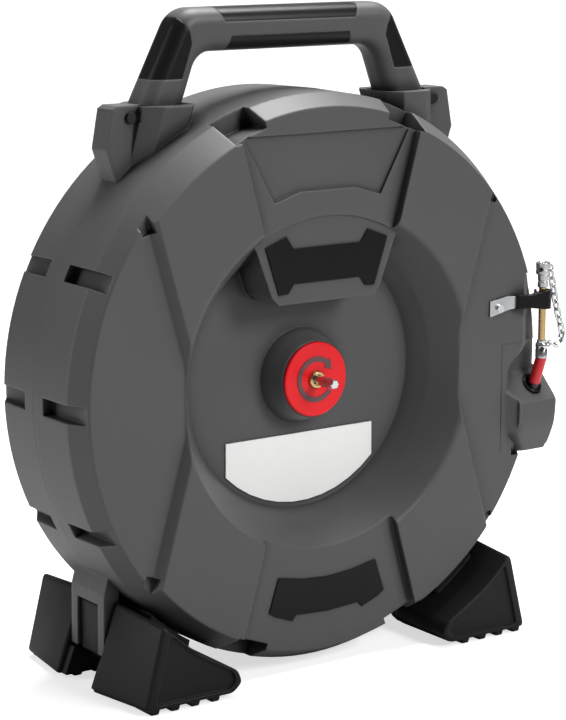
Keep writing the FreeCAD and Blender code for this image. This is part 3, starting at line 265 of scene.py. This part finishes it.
# %% Moulded grain
def make_grain_group():
    """Fine bumps for the spark-eroded skin of a mould, and slow drifts of tone."""
    group, given, result = new_group(
        "moulded_grain",
        [("Grain Scale", "NodeSocketFloat", 900.0), ("Tone Scale", "NodeSocketFloat", 9.0)],
        [("Height", "NodeSocketFloat"), ("Tone", "NodeSocketFloat")])
    place = object_place(group)
    fine = noise_node(group, given.outputs["Grain Scale"], 2.0, 0.6, place)
    half_scale = math_node(group, "MULTIPLY", given.outputs["Grain Scale"], 0.31)
    coarse = noise_node(group, half_scale, 1.0, 0.5, place)
    height = math_node(group, "ADD", fine, math_node(group, "MULTIPLY", coarse, 0.6))
    tone = noise_node(group, given.outputs["Tone Scale"], 3.0, 0.55, place)
    group.links.new(height, result.inputs["Height"])
    group.links.new(tone, result.inputs["Tone"])
    return group


GRAIN = make_grain_group()

# %% Rounded and worn edges
def make_edge_group():
    """A normal that rounds off sharp edges, and a mask of how near an edge a point is."""
    group, given, result = new_group(
        "soft_edges", [("Radius", "NodeSocketFloat", 0.0015)],
        [("Normal", "NodeSocketVector"), ("Edge", "NodeSocketFloat")])
    bevel = group.nodes.new("ShaderNodeBevel")
    bevel.samples = 6
    group.links.new(given.outputs["Radius"], bevel.inputs["Radius"])
    geometry = group.nodes.new("ShaderNodeNewGeometry")
    dot = group.nodes.new("ShaderNodeVectorMath")
    dot.operation = "DOT_PRODUCT"
    group.links.new(bevel.outputs["Normal"], dot.inputs[0])
    group.links.new(geometry.outputs["Normal"], dot.inputs[1])
    lean = math_node(group, "SUBTRACT", 1.0, dot.outputs["Value"])
    breakup = noise_node(group, 140.0, 4.0, 0.7, object_place(group))
    mask = math_node(group, "MULTIPLY", math_node(group, "MULTIPLY", lean, 5.0, True), breakup)
    group.links.new(bevel.outputs["Normal"], result.inputs["Normal"])
    group.links.new(mask, result.inputs["Edge"])
    return group


EDGES = make_edge_group()

# %% Machined lines
def make_lines_group():
    """Long thin streaks: noise stretched along one axis, as a lathe or a brush leaves them."""
    group, given, result = new_group(
        "machined_lines", [("Stretch", "NodeSocketVector", (60.0, 60.0, 2500.0))],
        [("Height", "NodeSocketFloat"), ("Streak", "NodeSocketFloat")])
    place = object_place(group)
    stretch = group.nodes.new("ShaderNodeVectorMath")
    stretch.operation = "MULTIPLY"
    group.links.new(place, stretch.inputs[0])
    group.links.new(given.outputs["Stretch"], stretch.inputs[1])
    lines = noise_node(group, 1.0, 3.0, 0.6, stretch.outputs["Vector"])
    group.links.new(lines, result.inputs["Height"])
    group.links.new(noise_node(group, 45.0, 3.0, 0.6, place), result.inputs["Streak"])
    return group


LINES = make_lines_group()

# %% Dust
def make_dust_group():
    """A thin pale veil that settles on faces looking up, broken by noise."""
    group, given, result = new_group(
        "settled_dust", [("Amount", "NodeSocketFloat", 0.15)], [("Dust", "NodeSocketFloat")])
    geometry = group.nodes.new("ShaderNodeNewGeometry")
    parts = group.nodes.new("ShaderNodeSeparateXYZ")
    group.links.new(geometry.outputs["Normal"], parts.inputs[0])
    upward = math_node(group, "POWER", math_node(group, "MAXIMUM", parts.outputs["Z"], 0.0), 2.0)
    patches = noise_node(group, 30.0, 5.0, 0.65, object_place(group))
    amount = math_node(group, "MULTIPLY", upward, patches)
    dust = math_node(group, "MULTIPLY", amount, given.outputs["Amount"], True)
    group.links.new(dust, result.inputs["Dust"])
    return group


DUST = make_dust_group()

# %% Painted shade in corners
def make_corner_shade_group():
    """A mask for painted shade: how deep a point sits in a corner, 0 in the open, 1 at the bottom
    of a narrow slot.
    """
    group, given, result = new_group(
        "painted_corner_shade", [("Reach", "NodeSocketFloat", 0.014)],
        [("Painted Shade", "NodeSocketFloat")])
    hidden = group.nodes.new("ShaderNodeAmbientOcclusion")
    hidden.samples = 6
    group.links.new(given.outputs["Reach"], hidden.inputs["Distance"])
    depth = math_node(group, "SUBTRACT", 1.0, hidden.outputs["AO"])
    spread = math_node(group, "MULTIPLY", depth, 1.7, True)
    group.links.new(spread, result.inputs["Painted Shade"])
    return group


CORNER_SHADE = make_corner_shade_group()

# %% [markdown]
# ## Finishes
#
# One function builds the plastic and rubber finishes, and one the metals. Both take their colour
# as the real surface has it and put the shared effects into it with values of their own; the
# plastics and rubbers also get painted shade, a darker colour in their corners and slots.

# %% Helpers for finishes
def place_group(tree, group, **values):
    """Puts a shared group into a material with its own values."""
    node = tree.nodes.new("ShaderNodeGroup")
    node.node_tree = group
    for label, value in values.items():
        node.inputs[label.replace("_", " ")].default_value = value
    return node


def blend_colour(tree, mask, first, second):
    """A mix from the first colour to the second by a mask."""
    mix = tree.nodes.new("ShaderNodeMix")
    mix.data_type = "RGBA"
    tree.links.new(mask, mix.inputs["Factor"])
    for socket, colour in ((mix.inputs["A"], first), (mix.inputs["B"], second)):
        if isinstance(colour, tuple):
            socket.default_value = (*colour, 1)
        else:
            tree.links.new(colour, socket)
    return mix.outputs["Result"]


def shaded(colour, factor):
    """A colour made darker or lighter by a factor, kept at or below 1."""
    return tuple(min(channel * factor, 1) for channel in colour)


def new_material(name):
    """An empty material with its node tree and its Principled shader."""
    material = bpy.data.materials.new(name)
    material.use_nodes = True
    return material, material.node_tree, material.node_tree.nodes["Principled BSDF"]


def add_relief(tree, shader, height, normal, depth):
    """A bump of a given depth in metres, laid over the rounded edges' normal."""
    bump = tree.nodes.new("ShaderNodeBump")
    bump.inputs["Distance"].default_value = depth
    tree.links.new(height, bump.inputs["Height"])
    tree.links.new(normal, bump.inputs["Normal"])
    tree.links.new(bump.outputs["Normal"], shader.inputs["Normal"])


# %% Plastic and rubber
DUST_COLOUR = (0.42, 0.41, 0.39)


def moulded_finish(name, colour, roughness, grain=900.0, depth=0.00006, edge=0.0015, wear=0.35,
                   dust=0.12, specular=0.5, painted_shade=0.3):
    """Moulded plastic or rubber: tone drifts, grain, pale worn edges, dust, painted corner shade.
    """
    material, tree, shader = new_material(name)
    shader.inputs["Specular IOR Level"].default_value = specular
    skin = place_group(tree, GRAIN, Grain_Scale=grain)
    edges = place_group(tree, EDGES, Radius=edge)
    veil = place_group(tree, DUST, Amount=dust)
    corners = place_group(tree, CORNER_SHADE)
    worn = tuple(channel + (0.5 - channel) * 0.3 for channel in colour)
    base = blend_colour(tree, skin.outputs["Tone"], shaded(colour, 0.9), shaded(colour, 1.1))
    rubbing = math_node(tree, "MULTIPLY", edges.outputs["Edge"], wear)
    rubbed = blend_colour(tree, rubbing, base, worn)
    dusty = blend_colour(tree, veil.outputs["Dust"], rubbed, DUST_COLOUR)
    # painted shade: the colour turns dark in corners and slots, the deeper a point sits the darker
    shade_amount = math_node(tree, "MULTIPLY", corners.outputs["Painted Shade"], painted_shade)
    with_painted_shade = blend_colour(tree, shade_amount, dusty, shaded(colour, 0.12))
    tree.links.new(with_painted_shade, shader.inputs["Base Color"])
    varied = math_node(tree, "MULTIPLY", skin.outputs["Tone"], 0.14)
    rough = math_node(tree, "ADD", varied, roughness - 0.07)
    dulled = math_node(tree, "ADD", rough, veil.outputs["Dust"], True)
    tree.links.new(dulled, shader.inputs["Roughness"])
    add_relief(tree, shader, skin.outputs["Height"], edges.outputs["Normal"], depth)
    return material


# %% Metal
def metal_finish(name, colour, roughness, stretch=(60.0, 60.0, 2500.0), depth=0.00002, edge=0.0004,
                 tarnish=0.25):
    """Bare or plated metal: machined lines, faint stains, and brighter edges."""
    material, tree, shader = new_material(name)
    shader.inputs["Metallic"].default_value = 1.0
    lines = place_group(tree, LINES, Stretch=stretch)
    edges = place_group(tree, EDGES, Radius=edge)
    base = blend_colour(tree, lines.outputs["Streak"], shaded(colour, 1 - tarnish), colour)
    brightened = blend_colour(tree, edges.outputs["Edge"], base, shaded(colour, 1.15))
    tree.links.new(brightened, shader.inputs["Base Color"])
    varied = math_node(tree, "MULTIPLY", lines.outputs["Height"], 0.2)
    rough = math_node(tree, "ADD", varied, roughness - 0.1, True)
    tree.links.new(rough, shader.inputs["Roughness"])
    add_relief(tree, shader, lines.outputs["Height"], edges.outputs["Normal"], depth)
    return material


# %% The machine's finishes
# Each moulded finish's painted_shade value sets how dark its painted shade in corners and slots is;
# the case's is the strongest.
FINISHES = {
    "case_grey": moulded_finish("case_grey", (0.076, 0.076, 0.079), 0.42, edge=0.0028,
                                wear=0.5, specular=0.28, painted_shade=0.95),
    "grip_black": moulded_finish("grip_black", (0.008, 0.008, 0.0085), 0.3, grain=1500.0,
                                 edge=0.0012, dust=0.02, specular=0.2),
    "foot_rubber": moulded_finish("foot_rubber", (0.011, 0.011, 0.0115), 0.42, grain=600.0,
                                  edge=0.002, dust=0.02, specular=0.13),
    "cap_red": moulded_finish("cap_red", (0.74, 0.006, 0.011), 0.34, edge=0.0006, wear=0.05,
                              dust=0.0, specular=0.3),
    "arrow_dark": moulded_finish("arrow_dark", (0.1, 0.045, 0.052), 0.4, edge=0.0001, wear=0.0,
                                 dust=0.0),
    "plate_black": moulded_finish("plate_black", (0.005, 0.005, 0.0055), 0.32, grain=500.0,
                                  depth=0.00002, edge=0.0005, wear=0.1, dust=0.0, specular=0.15),
    "label_white": moulded_finish("label_white", (0.82, 0.82, 0.81), 0.35, grain=500.0,
                                  depth=0.00001, edge=0.0002, wear=0.0, dust=0.0, painted_shade=0.0),
    "vinyl_black": moulded_finish("vinyl_black", (0.004, 0.004, 0.004), 0.24, grain=300.0,
                                  edge=0.0012, dust=0.02, specular=0.16),
    "cable_red": moulded_finish("cable_red", (0.55, 0.008, 0.016), 0.32, grain=500.0,
                                edge=0.0005, dust=0.0),
    "sheath_black": moulded_finish("sheath_black", (0.012, 0.012, 0.013), 0.32, grain=500.0,
                                   edge=0.0005),
    "drum_black": moulded_finish("drum_black", (0.03, 0.03, 0.031), 0.45),
    "brass": metal_finish("brass", (0.72, 0.50, 0.24), 0.26),
    "steel": metal_finish("steel", (0.60, 0.61, 0.62), 0.3),
    "zinc": metal_finish("zinc", (0.72, 0.73, 0.74), 0.24, tarnish=0.15),
    "black_steel": metal_finish("black_steel", (0.05, 0.05, 0.052), 0.35),
}
print("finishes:", len(FINISHES))

# %% [markdown]
# The part's record names a material slot for each CAD piece, and each slot has a finish of that
# name.

# %% Dress the CAD pieces
def dress(piece, finish):
    """Gives a piece one finish in every material slot."""
    piece.data.materials.clear()
    piece.data.materials.append(FINISHES[finish])


slot_of = {part["node"]: part["material_slot"] for part in frame["record"]["subparts"]}
for name, node in nodes.items():
    dress(node, slot_of[name])

# %% [markdown]
# ## Rubber feet
#
# Each foot is one soft moulding: two wedge blocks that end in a framed panel, a web with a saddle
# that reaches up to the case, a tongue in the shells' lug frame, and ribs of tread below. A
# moulding has no sharp edge, so each part is drawn as an outline with rounded corners that is
# carried from front to back, and drawn in a little at both ends to round those edges as well. The
# same function makes every part of the foot.

# %% Outlines with rounded corners
def rounded_outline(corners, radii, steps=6):
    """Every corner becomes an arc: a quadratic curve from one side's point to the next side's.

    point(t) = (1 - t)^2 start + 2 t (1 - t) corner + t^2 end, with t from 0 to 1
    """
    corner = np.array(corners, float)
    before, after = np.roll(corner, 1, 0) - corner, np.roll(corner, -1, 0) - corner
    length_before = np.linalg.norm(before, axis=1, keepdims=True)
    length_after = np.linalg.norm(after, axis=1, keepdims=True)
    reach = np.minimum(np.broadcast_to(np.array(radii, float), len(corner))[:, None],
                       0.45 * np.minimum(length_before, length_after))
    start = (corner + before / length_before * reach)[:, None]
    end = (corner + after / length_after * reach)[:, None]
    t = np.linspace(0, 1, steps)[None, :, None]
    curve = (1 - t) ** 2 * start + 2 * t * (1 - t) * corner[:, None] + t ** 2 * end
    return curve.reshape(-1, 2)


def carried_block(first, last, low, high, round_off, panel=0.0):
    """An outline carried along Y: point(s) = centre + (outline(s) - centre) * (1 - shrink(s)).

    The outline changes evenly from first to last. The shrink follows a quarter circle at both
    ends, and a panel is let into the last face by a step inwards.
    """
    quarter = np.linspace(0, math.pi / 2, 5)
    turn_in = np.stack([round_off * (1 - np.cos(quarter)), round_off * (1 - np.sin(quarter))], 1)
    size = np.linalg.norm(np.ptp(first, axis=0)) / 2
    start = np.stack([low + turn_in[:, 0], turn_in[:, 1] / size], 1)
    end = np.stack([high - turn_in[::-1, 0], turn_in[::-1, 1] / size], 1)
    stations = np.concatenate([start, end])
    if panel:
        edge = end[-1, 1]
        step = [[high, edge + 0.1], [high - panel * 0.4, edge + 0.115], [high - panel, edge + 0.13]]
        stations = np.concatenate([stations, step])
    share = ((stations[:, 0] - low) / (high - low)).clip(0, 1)[:, None, None]
    outline = first[None] * (1 - share) + last[None] * share
    centre = outline.mean(1, keepdims=True)
    outline = centre + (outline - centre) * (1 - stations[:, 1][:, None, None])
    level = np.broadcast_to(stations[:, 0][:, None], outline.shape[:2])
    points = np.stack([outline[..., 0], level, outline[..., 1]], -1)
    count = outline.shape[1]
    faces = grid_faces(len(stations), count, wrap_columns=True)
    faces += [list(range(count)), list(range((len(stations) - 1) * count, len(stations) * count))]
    return points.reshape(-1, 3), faces


def join_parts(parts_list):
    """Several (points, faces) pairs as one, with the face numbers moved on."""
    points, faces, total = [], [], 0
    for part_points, part_faces in parts_list:
        points.append(part_points)
        faces += [[index + total for index in face] for face in part_faces]
        total += len(part_points)
    return np.concatenate(points), faces


SHARP_ANGLE = math.radians(38)


def on_case(points):
    """Points in millimetres about the case's centre, as places in metres."""
    return np.array(CASE_CENTRE) + points * MM


def outward(piece):
    """Turns every face of a closed piece outwards, and rounds only the shallow edges."""
    form = bmesh.new()
    form.from_mesh(piece.data)
    bmesh.ops.recalc_face_normals(form, faces=form.faces)
    form.to_mesh(piece.data)
    form.free()
    piece.data.set_sharp_from_angle(angle=SHARP_ANGLE)
    return piece


# %% One foot
# Outlines are (x, z) corners of the right foot; the left foot is its mirror image.
GROUND = -254
BLOCK_MIDDLE = [(191, -172), (217, -250), (118, -250), (109, -242), (113, -231), (158, -203)]
BLOCK_TIP = [(188, -178), (206, -250), (118, -250), (109, -242), (113, -231), (157, -206)]
BLOCK_ROUNDING = (7, 5, 4, 4, 4, 30)
BASE = [(203, -224.5), (212.5, -249.6), (119, -249.6), (111, -242), (113, -236)]
WEB = [(185, -181), (185, -236.4), (122, -236.4), (114, -231)]
TONGUE = [(198.5, -180), (198.5, -225.5), (178, -225.5), (178, -180)]
SADDLE_RADIUS, SADDLE_ANGLES, SADDLE_BELOW = 250.5, (-46, -57.5), [(138, -226), (178, -205)]
TREADS, FIRST_TREAD, TREAD_PITCH, TREAD_TOP = 4, 131, 20, -249


def tread_outline(left):
    """One rib of tread, a little narrower at the ground than where it leaves the block."""
    return rounded_outline([(left, TREAD_TOP), (left + 11, TREAD_TOP), (left + 9.5, GROUND),
                            (left + 1.5, GROUND)], 1.5)


def foot_parts():
    """The right foot: web, tongue and saddle once, and the blocks and treads at front and back."""
    middle = rounded_outline(BLOCK_MIDDLE, BLOCK_ROUNDING)
    tip = rounded_outline(BLOCK_TIP, BLOCK_ROUNDING)
    base = rounded_outline(BASE, 2)
    web = rounded_outline(WEB, 1.5)
    tongue = rounded_outline(TONGUE, 2.5)
    arc = np.radians(np.linspace(*SADDLE_ANGLES, 9))
    hug = np.stack([SADDLE_RADIUS * np.cos(arc), SADDLE_RADIUS * np.sin(arc)], 1)
    saddle = np.concatenate([hug, SADDLE_BELOW])
    found = [carried_block(web, web, -28.6, 28.6, 0.5),
             carried_block(tongue, tongue, -16.4, 16.4, 2.5),
             carried_block(saddle, saddle, -58, 58, 1.5)]
    for end in (1, -1):
        ends = [carried_block(middle, tip, 28.2, 101, 4.0, 3.0),
                carried_block(base, base, 21, 29.5, 1.0)]
        for number in range(TREADS):
            tread = tread_outline(FIRST_TREAD + TREAD_PITCH * number)
            ends.append(carried_block(tread, tread, 26, 99.5, 2.0))
        found += [(points * (1, end, 1), faces) for points, faces in ends]
    return join_parts(found)


# %% Wells of the foot screws
WELL_X, WELL_Y, WELL_RADIUS, WELL_SIDES = 153, 42, 6, 24
WELL_LEVELS = (-258, -236)


def screw_wells(hand):
    """Two round posts that cut the wells of the foot's screws."""
    turn_round = np.linspace(0, 2 * math.pi, WELL_SIDES, endpoint=False)
    ring = np.stack([WELL_RADIUS * np.cos(turn_round), WELL_RADIUS * np.sin(turn_round)], 1)
    faces = grid_faces(2, WELL_SIDES, wrap_columns=True)
    faces += [list(range(WELL_SIDES)), list(range(WELL_SIDES, 2 * WELL_SIDES))]
    posts = []
    for y in (-WELL_Y, WELL_Y):
        rings = [np.column_stack([ring[:, 0] + WELL_X * hand, ring[:, 1] + y,
                                  np.full(WELL_SIDES, level)]) for level in WELL_LEVELS]
        posts.append((np.concatenate(rings), faces))
    return join_parts(posts)


def apply_cut(piece, cutter):
    """Takes the cutter out of the piece for good, and removes the cutter."""
    step = piece.modifiers.new("wells", "BOOLEAN")
    step.operation = "DIFFERENCE"
    step.object = cutter
    step.solver = "EXACT"
    step.use_self = True  # the foot's parts overlap each other
    graph = bpy.context.evaluated_depsgraph_get()
    piece.data = bpy.data.meshes.new_from_object(piece.evaluated_get(graph))
    piece.modifiers.clear()
    bpy.data.objects.remove(cutter)


# %% Both feet
foot_points, foot_faces = foot_parts()
for hand, side_name in ((-1, "left"), (1, "right")):
    placed = on_case(foot_points * (hand, 1, 1))
    foot = outward(mesh_piece("moulded_foot_" + side_name, placed, foot_faces))
    well_points, well_faces = screw_wells(hand)
    cutter = outward(mesh_piece("wells_" + side_name, on_case(well_points), well_faces))
    apply_cut(foot, cutter)
    foot.data.set_sharp_from_angle(angle=SHARP_ANGLE)
    dress(foot, "foot_rubber")
    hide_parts("foot_" + side_name)
    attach(foot, "housing")
    print(foot.name, len(foot.data.polygons), "faces")

# %% [markdown]
# ## Knocker chain
#
# The CAD model's links are few-sided loops that fix where each link hangs. The real ones are bent
# from round wire. The middle and the two main directions of each link are read from its CAD
# vertices, and a round tube along an oval takes its place.

# %% Chain links
LINKS, LINK_STEPS, WIRE_SIDES = 11, 28, 10
WIRE_RADIUS, LINK_BEND, LINK_STRAIGHT = 1.15 * MM, 2.65 * MM, 2.4 * MM


def node_points(name):
    """A CAD piece's vertices as rows of x, y and z."""
    mesh = nodes[name].data
    flat = np.empty(len(mesh.vertices) * 3, np.float32)
    mesh.vertices.foreach_get("co", flat)
    return flat.reshape(-1, 3).astype(float)


def link_frames():
    """Each link's middle, long direction, wide direction and the normal of its plane."""
    links = node_points("knocker_chain").reshape(LINKS, -1, 3)
    middle = links.mean(1)
    axes = np.linalg.svd(links - middle[:, None], full_matrices=False)[2]
    return middle, axes[:, 0], axes[:, 1], axes[:, 2]


def oval_links():
    """The wire's centre line and its skin, for every link at once.

    line(u) = middle + long (bend cos u + straight sign(cos u)) + wide bend sin u
    point(u, v) = line(u) + wire radius * (outward cos v + normal sin v)
    """
    middle, long_way, wide_way, normal = link_frames()
    u = (np.arange(LINK_STEPS) + 0.5) / LINK_STEPS * 2 * math.pi
    v = np.arange(WIRE_SIDES) / WIRE_SIDES * 2 * math.pi
    long_way, wide_way, normal = (axis[:, None, None] for axis in (long_way, wide_way, normal))
    cos_u, sin_u = np.cos(u)[None, :, None, None], np.sin(u)[None, :, None, None]
    cos_v, sin_v = np.cos(v)[None, None, :, None], np.sin(v)[None, None, :, None]
    outward_way = long_way * cos_u + wide_way * sin_u
    reach = LINK_BEND * cos_u + LINK_STRAIGHT * np.sign(cos_u)
    line = middle[:, None, None] + long_way * reach + wide_way * LINK_BEND * sin_u
    return line + WIRE_RADIUS * (outward_way * cos_v + normal * sin_v)


link_faces = grid_faces(LINK_STEPS, WIRE_SIDES, wrap_rows=True, wrap_columns=True)
chain_points, chain_faces = join_parts([(link.reshape(-1, 3), link_faces) for link in oval_links()])
chain = outward(mesh_piece("round_link_chain", chain_points, chain_faces))
dress(chain, "zinc")
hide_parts("knocker_chain")
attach(chain, "cable_end")
print("links:", LINKS)

# %% [markdown]
# ## Soft outlet housing
#
# The moulding flows here: the face rolls down into the valley beside the outlet, and the block
# has soft edges, a slanted left cheek and a full lower corner. The depth over the X-Z plane is
# one formula, so the surface is a grid with rounded borders. A hole in it leaves the cable's
# tunnel free.

# %% Depth of the outlet's moulding
FACE, BLOCK_FRONT, CHIN_TOP = -72, -84, -66
TOP_SLOPE_SHIFT = 40.5  # the sloped top is the plane y = z - 40.5
SOFT_EDGE, SOFT_CHEEK, SOFT_JOIN = 2.4, 1.8, 2.0
VALLEY_DEPTH, CLEAR_OF_FACE = 12.8, 0.12
# above the block the moulding follows the shell's own surface, a little in front of it
ABOVE_X = [218, 221, 223, 226, 230, 236, 239, 245]
ABOVE_Y = [-72.12, -72.12, -70.5, -68.2, -65.2, -60.8, -59.4, -57.9]


def smooth_step(share):
    """0 below 0, 1 above 1, and 3 t t - 2 t t t between."""
    share = share.clip(0, 1)
    return share * share * (3 - 2 * share)


def soft_larger(first, second, soft):
    """The larger of a and b, rounded: half of a + b + root((a - b)(a - b) + soft soft)."""
    return (first + second + np.sqrt((first - second) ** 2 + soft * soft)) / 2


def outlet_depth(x, z):
    """The y of the moulding at x and z, where a smaller y is further forward.

    The valley falls from the face by a smooth step, and its edge moves left as it comes down to
    the block. The block is bounded by five planes, its front, sloped top, chin, left cheek and
    lower left corner, so its y is their softened largest. The more forward of the two shows.
    """
    lower = smooth_step((10 - z) / 26)
    valley_edge, valley_width = 219 - 17 * lower, 20 - 4 * lower
    valley = FACE - CLEAR_OF_FACE + VALLEY_DEPTH * smooth_step((x - valley_edge) / valley_width)
    fade = smooth_step((11 - z) / 8)
    valley = np.interp(x, ABOVE_X, ABOVE_Y) * (1 - fade) + valley * fade
    block = soft_larger(z - TOP_SLOPE_SHIFT, np.full_like(x, BLOCK_FRONT), SOFT_EDGE)
    chin = BLOCK_FRONT - (z - CHIN_TOP) * 0.385
    left_cheek = FACE - (x - 200) * 0.86
    lower_left = FACE - (z + 68 + (x - 199) * 1.06) * 1.2
    block = soft_larger(block, chin, SOFT_EDGE)
    block = soft_larger(block, left_cheek, SOFT_CHEEK)
    block = soft_larger(block, lower_left, SOFT_EDGE)
    return -soft_larger(-valley, -block, SOFT_JOIN)


# %% Outlet surface
OUTLET_LEFT, OUTLET_TOP, OUTLET_BOTTOM = 196, 12, -89
RIGHT_LEVELS, RIGHT_X = [13, 19, 44, 80, 86, 89], [244.5, 254.6, 255.2, 252.5, 251.5, 249.5]
SHELL_LEVELS, SHELL_Y = [13, 19], [-56.6, -38]  # where the right border ends, inside the shell
BORDER, SUNK, UNDER_Y = 2.4, 0.8, -42.0
ROWS, COLUMNS = 92, 58


def outlet_surface():
    """Grid over X and Z, then rounded right and lower borders that run back into the shell."""
    turn = np.radians([22.5, 45, 67.5, 90])
    along_arc, behind_arc = BORDER * np.sin(turn), BORDER * (1 - np.cos(turn))
    z = np.concatenate([[OUTLET_TOP], np.linspace(OUTLET_TOP - 0.5, OUTLET_BOTTOM, ROWS)])
    right = np.interp(-z, RIGHT_LEVELS, RIGHT_X)[:, None]
    back = np.interp(-z, SHELL_LEVELS, SHELL_Y)[:, None]
    x = OUTLET_LEFT + (right - BORDER - OUTLET_LEFT) * np.linspace(0, 1, COLUMNS)[None]
    y = outlet_depth(x, np.broadcast_to(z[:, None], x.shape))
    x = np.concatenate([x, right - BORDER + along_arc, right], 1)
    y = np.concatenate([y, y[:, -1:] + behind_arc, back], 1)
    y[0] += SUNK
    y[:, 0] += SUNK
    under = np.minimum(y[-1] + behind_arc[:, None], SHELL_Y[-1])
    x = np.concatenate([x, np.repeat(x[-1:], len(turn) + 1, 0)])
    y = np.concatenate([y, under, np.full((1, y.shape[1]), UNDER_Y)])
    z = np.concatenate([z, OUTLET_BOTTOM - along_arc, [OUTLET_BOTTOM - BORDER]])
    return np.stack([x, y, np.broadcast_to(z[:, None], x.shape)], -1)


# %% Hole for the tunnel, and the wall's thickness
GROMMET = np.array([234.7, -70.3, -30.8])
TUNNEL_HEADING = np.array([-0.183, 0.165, -0.969]) / np.linalg.norm([-0.183, 0.165, -0.969])
HOLE_RADIUS, HOLE_BELOW, HOLE_ABOVE = 8.2, -40, 14

grid = outlet_surface()
quads = np.array(grid_faces(grid.shape[0], grid.shape[1]))
middles = grid.reshape(-1, 3)[quads].mean(1) - GROMMET
along_axis = (middles @ TUNNEL_HEADING)[:, None] * TUNNEL_HEADING
off_axis = np.linalg.norm(middles - along_axis, axis=1)
kept = (off_axis > HOLE_RADIUS) | (middles[:, 2] < HOLE_BELOW) | (middles[:, 2] > HOLE_ABOVE)
outlet = mesh_piece("soft_outlet", on_case(grid.reshape(-1, 3)), quads[kept].tolist())
outlet.data.set_sharp_from_angle(angle=math.radians(50))
wall = outlet.modifiers.new("wall", "SOLIDIFY")
wall.thickness = 0.8 * MM
wall.offset = -1
dress(outlet, "case_grey")
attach(outlet, "housing")
print(outlet.name, len(outlet.data.polygons), "faces")

# %% [markdown]
# ## Slim parking clip
#
# The clip's strip and its dipped cover narrow towards the jaw. A merged copy of each CAD piece
# has its height drawn in about the strip's middle line, by a share that changes along X. The jaw
# keeps its bore.

# %% Clip pieces
STRIP_MIDDLE = ([181, 202, 241], [45.5, 49.5, 51])  # places along X, and the middle's height there


def slimmed(node_name, places, shares):
    """z' = middle(x) + (z - middle(x)) share(x), on a copy of the node's triangles."""
    mesh = nodes[node_name].data
    corners = np.empty(len(mesh.loops), np.int32)
    mesh.loops.foreach_get("vertex_index", corners)
    points = node_points(node_name)
    across = (points[:, 0] - CASE_CENTRE.x) / MM
    middle = CASE_CENTRE.z + np.interp(across, *STRIP_MIDDLE) * MM
    points[:, 2] = middle + (points[:, 2] - middle) * np.interp(across, places, shares)
    piece = mesh_piece("slim_" + node_name, points, corners.reshape(-1, 3).tolist())
    form = bmesh.new()
    form.from_mesh(piece.data)
    bmesh.ops.remove_doubles(form, verts=form.verts, dist=0.01 * MM)
    form.to_mesh(piece.data)
    form.free()
    return outward(piece)


CLIP_PIECES = [
    ("clip_sleeve", "vinyl_black", [209, 222, 234.5, 237, 249], [0.64, 0.62, 0.66, 0.95, 0.95]),
    ("clip_bracket", "steel", [181, 203, 210, 222, 236, 247], [0.95, 0.86, 0.6, 0.48, 0.5, 0.85])]
for node_name, slot_name, places, shares in CLIP_PIECES:
    slim = slimmed(node_name, places, shares)
    dress(slim, slot_name)
    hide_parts(node_name)
    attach(slim, "housing")
    print(slim.name, len(slim.data.polygons), "faces")

# %% [markdown]
# ## Collars of the parked end
#
# Two plated steel collars clamp on the brass end, and each has an eye for the chain. Real collars
# are turned: every step has a small chamfer, which catches the light. A closed profile of radius
# and height is turned about the rod, bore and all, and a round ring makes the eye.

# %% Turned collars
ROD_X, ROD_Y = 241.0, -76.0
EYE_RADIUS, EYE_WIRE = 2.7, 0.95


def turned_about_rod(profile, steps=40):
    """point(s, a) = (rod x + radius(s) cos a, rod y + radius(s) sin a, height(s))."""
    radius, height = np.array(profile, float).T
    angle = np.arange(steps) / steps * 2 * math.pi
    x = ROD_X + radius[:, None] * np.cos(angle)
    y = ROD_Y + radius[:, None] * np.sin(angle)
    z = np.broadcast_to(height[:, None], x.shape)
    faces = grid_faces(len(radius), steps, wrap_rows=True, wrap_columns=True)
    return np.stack([x, y, z], -1).reshape(-1, 3), faces


def chain_eye(x, z, around=24, sides=10):
    """A ring in the X-Z plane: radius + wire cos v about its middle, and wire sin v along Y."""
    u = np.linspace(0, 2 * math.pi, around, endpoint=False)[:, None]
    v = np.linspace(0, 2 * math.pi, sides, endpoint=False)[None]
    reach = EYE_RADIUS + EYE_WIRE * np.cos(v)
    level = np.broadcast_to(ROD_Y + EYE_WIRE * np.sin(v), reach.repeat(around, 0).shape)
    points = np.stack([x + reach * np.cos(u), level, z + reach * np.sin(u)], -1)
    return points.reshape(-1, 3), grid_faces(around, sides, wrap_rows=True, wrap_columns=True)


# %% Both collars
UPPER_PROFILE = [(3.42, 61), (4.4, 61), (4.8, 61.5), (4.8, 65.6), (4.35, 66.1), (4.35, 67.3),
                 (4.8, 67.8), (4.8, 72.3), (5.3, 72.9), (6.2, 73), (6.6, 73.5), (6.6, 77),
                 (6.3, 77.3), (6.3, 78.1), (6.6, 78.4), (6.6, 83.3), (6.0, 84), (4.4, 84),
                 (4.1, 83.6), (3.9, 82), (3.42, 82)]
LOWER_PROFILE = [(3.42, -4.9), (5.2, -4.9), (5.6, -4.4), (5.6, 3.2), (5.3, 3.6), (5.3, 4.4),
                 (5.6, 4.8), (5.6, 8.2), (5.0, 9.0), (4.5, 9.3), (4.5, 11.3), (4.0, 11.9),
                 (3.42, 11.9)]
COLLARS = [("upper_collar", UPPER_PROFILE, 250.0, 77.5),
           ("lower_collar", LOWER_PROFILE, 249.3, 7.5)]
for name, profile, eye_x, eye_z in COLLARS:
    collar_points, collar_faces = join_parts([turned_about_rod(profile), chain_eye(eye_x, eye_z)])
    collar = outward(mesh_piece("turned_" + name, on_case(collar_points), collar_faces))
    dress(collar, "zinc")
    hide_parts(name)
    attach(collar, "cable_end")
    print(collar.name, len(collar.data.polygons), "faces")
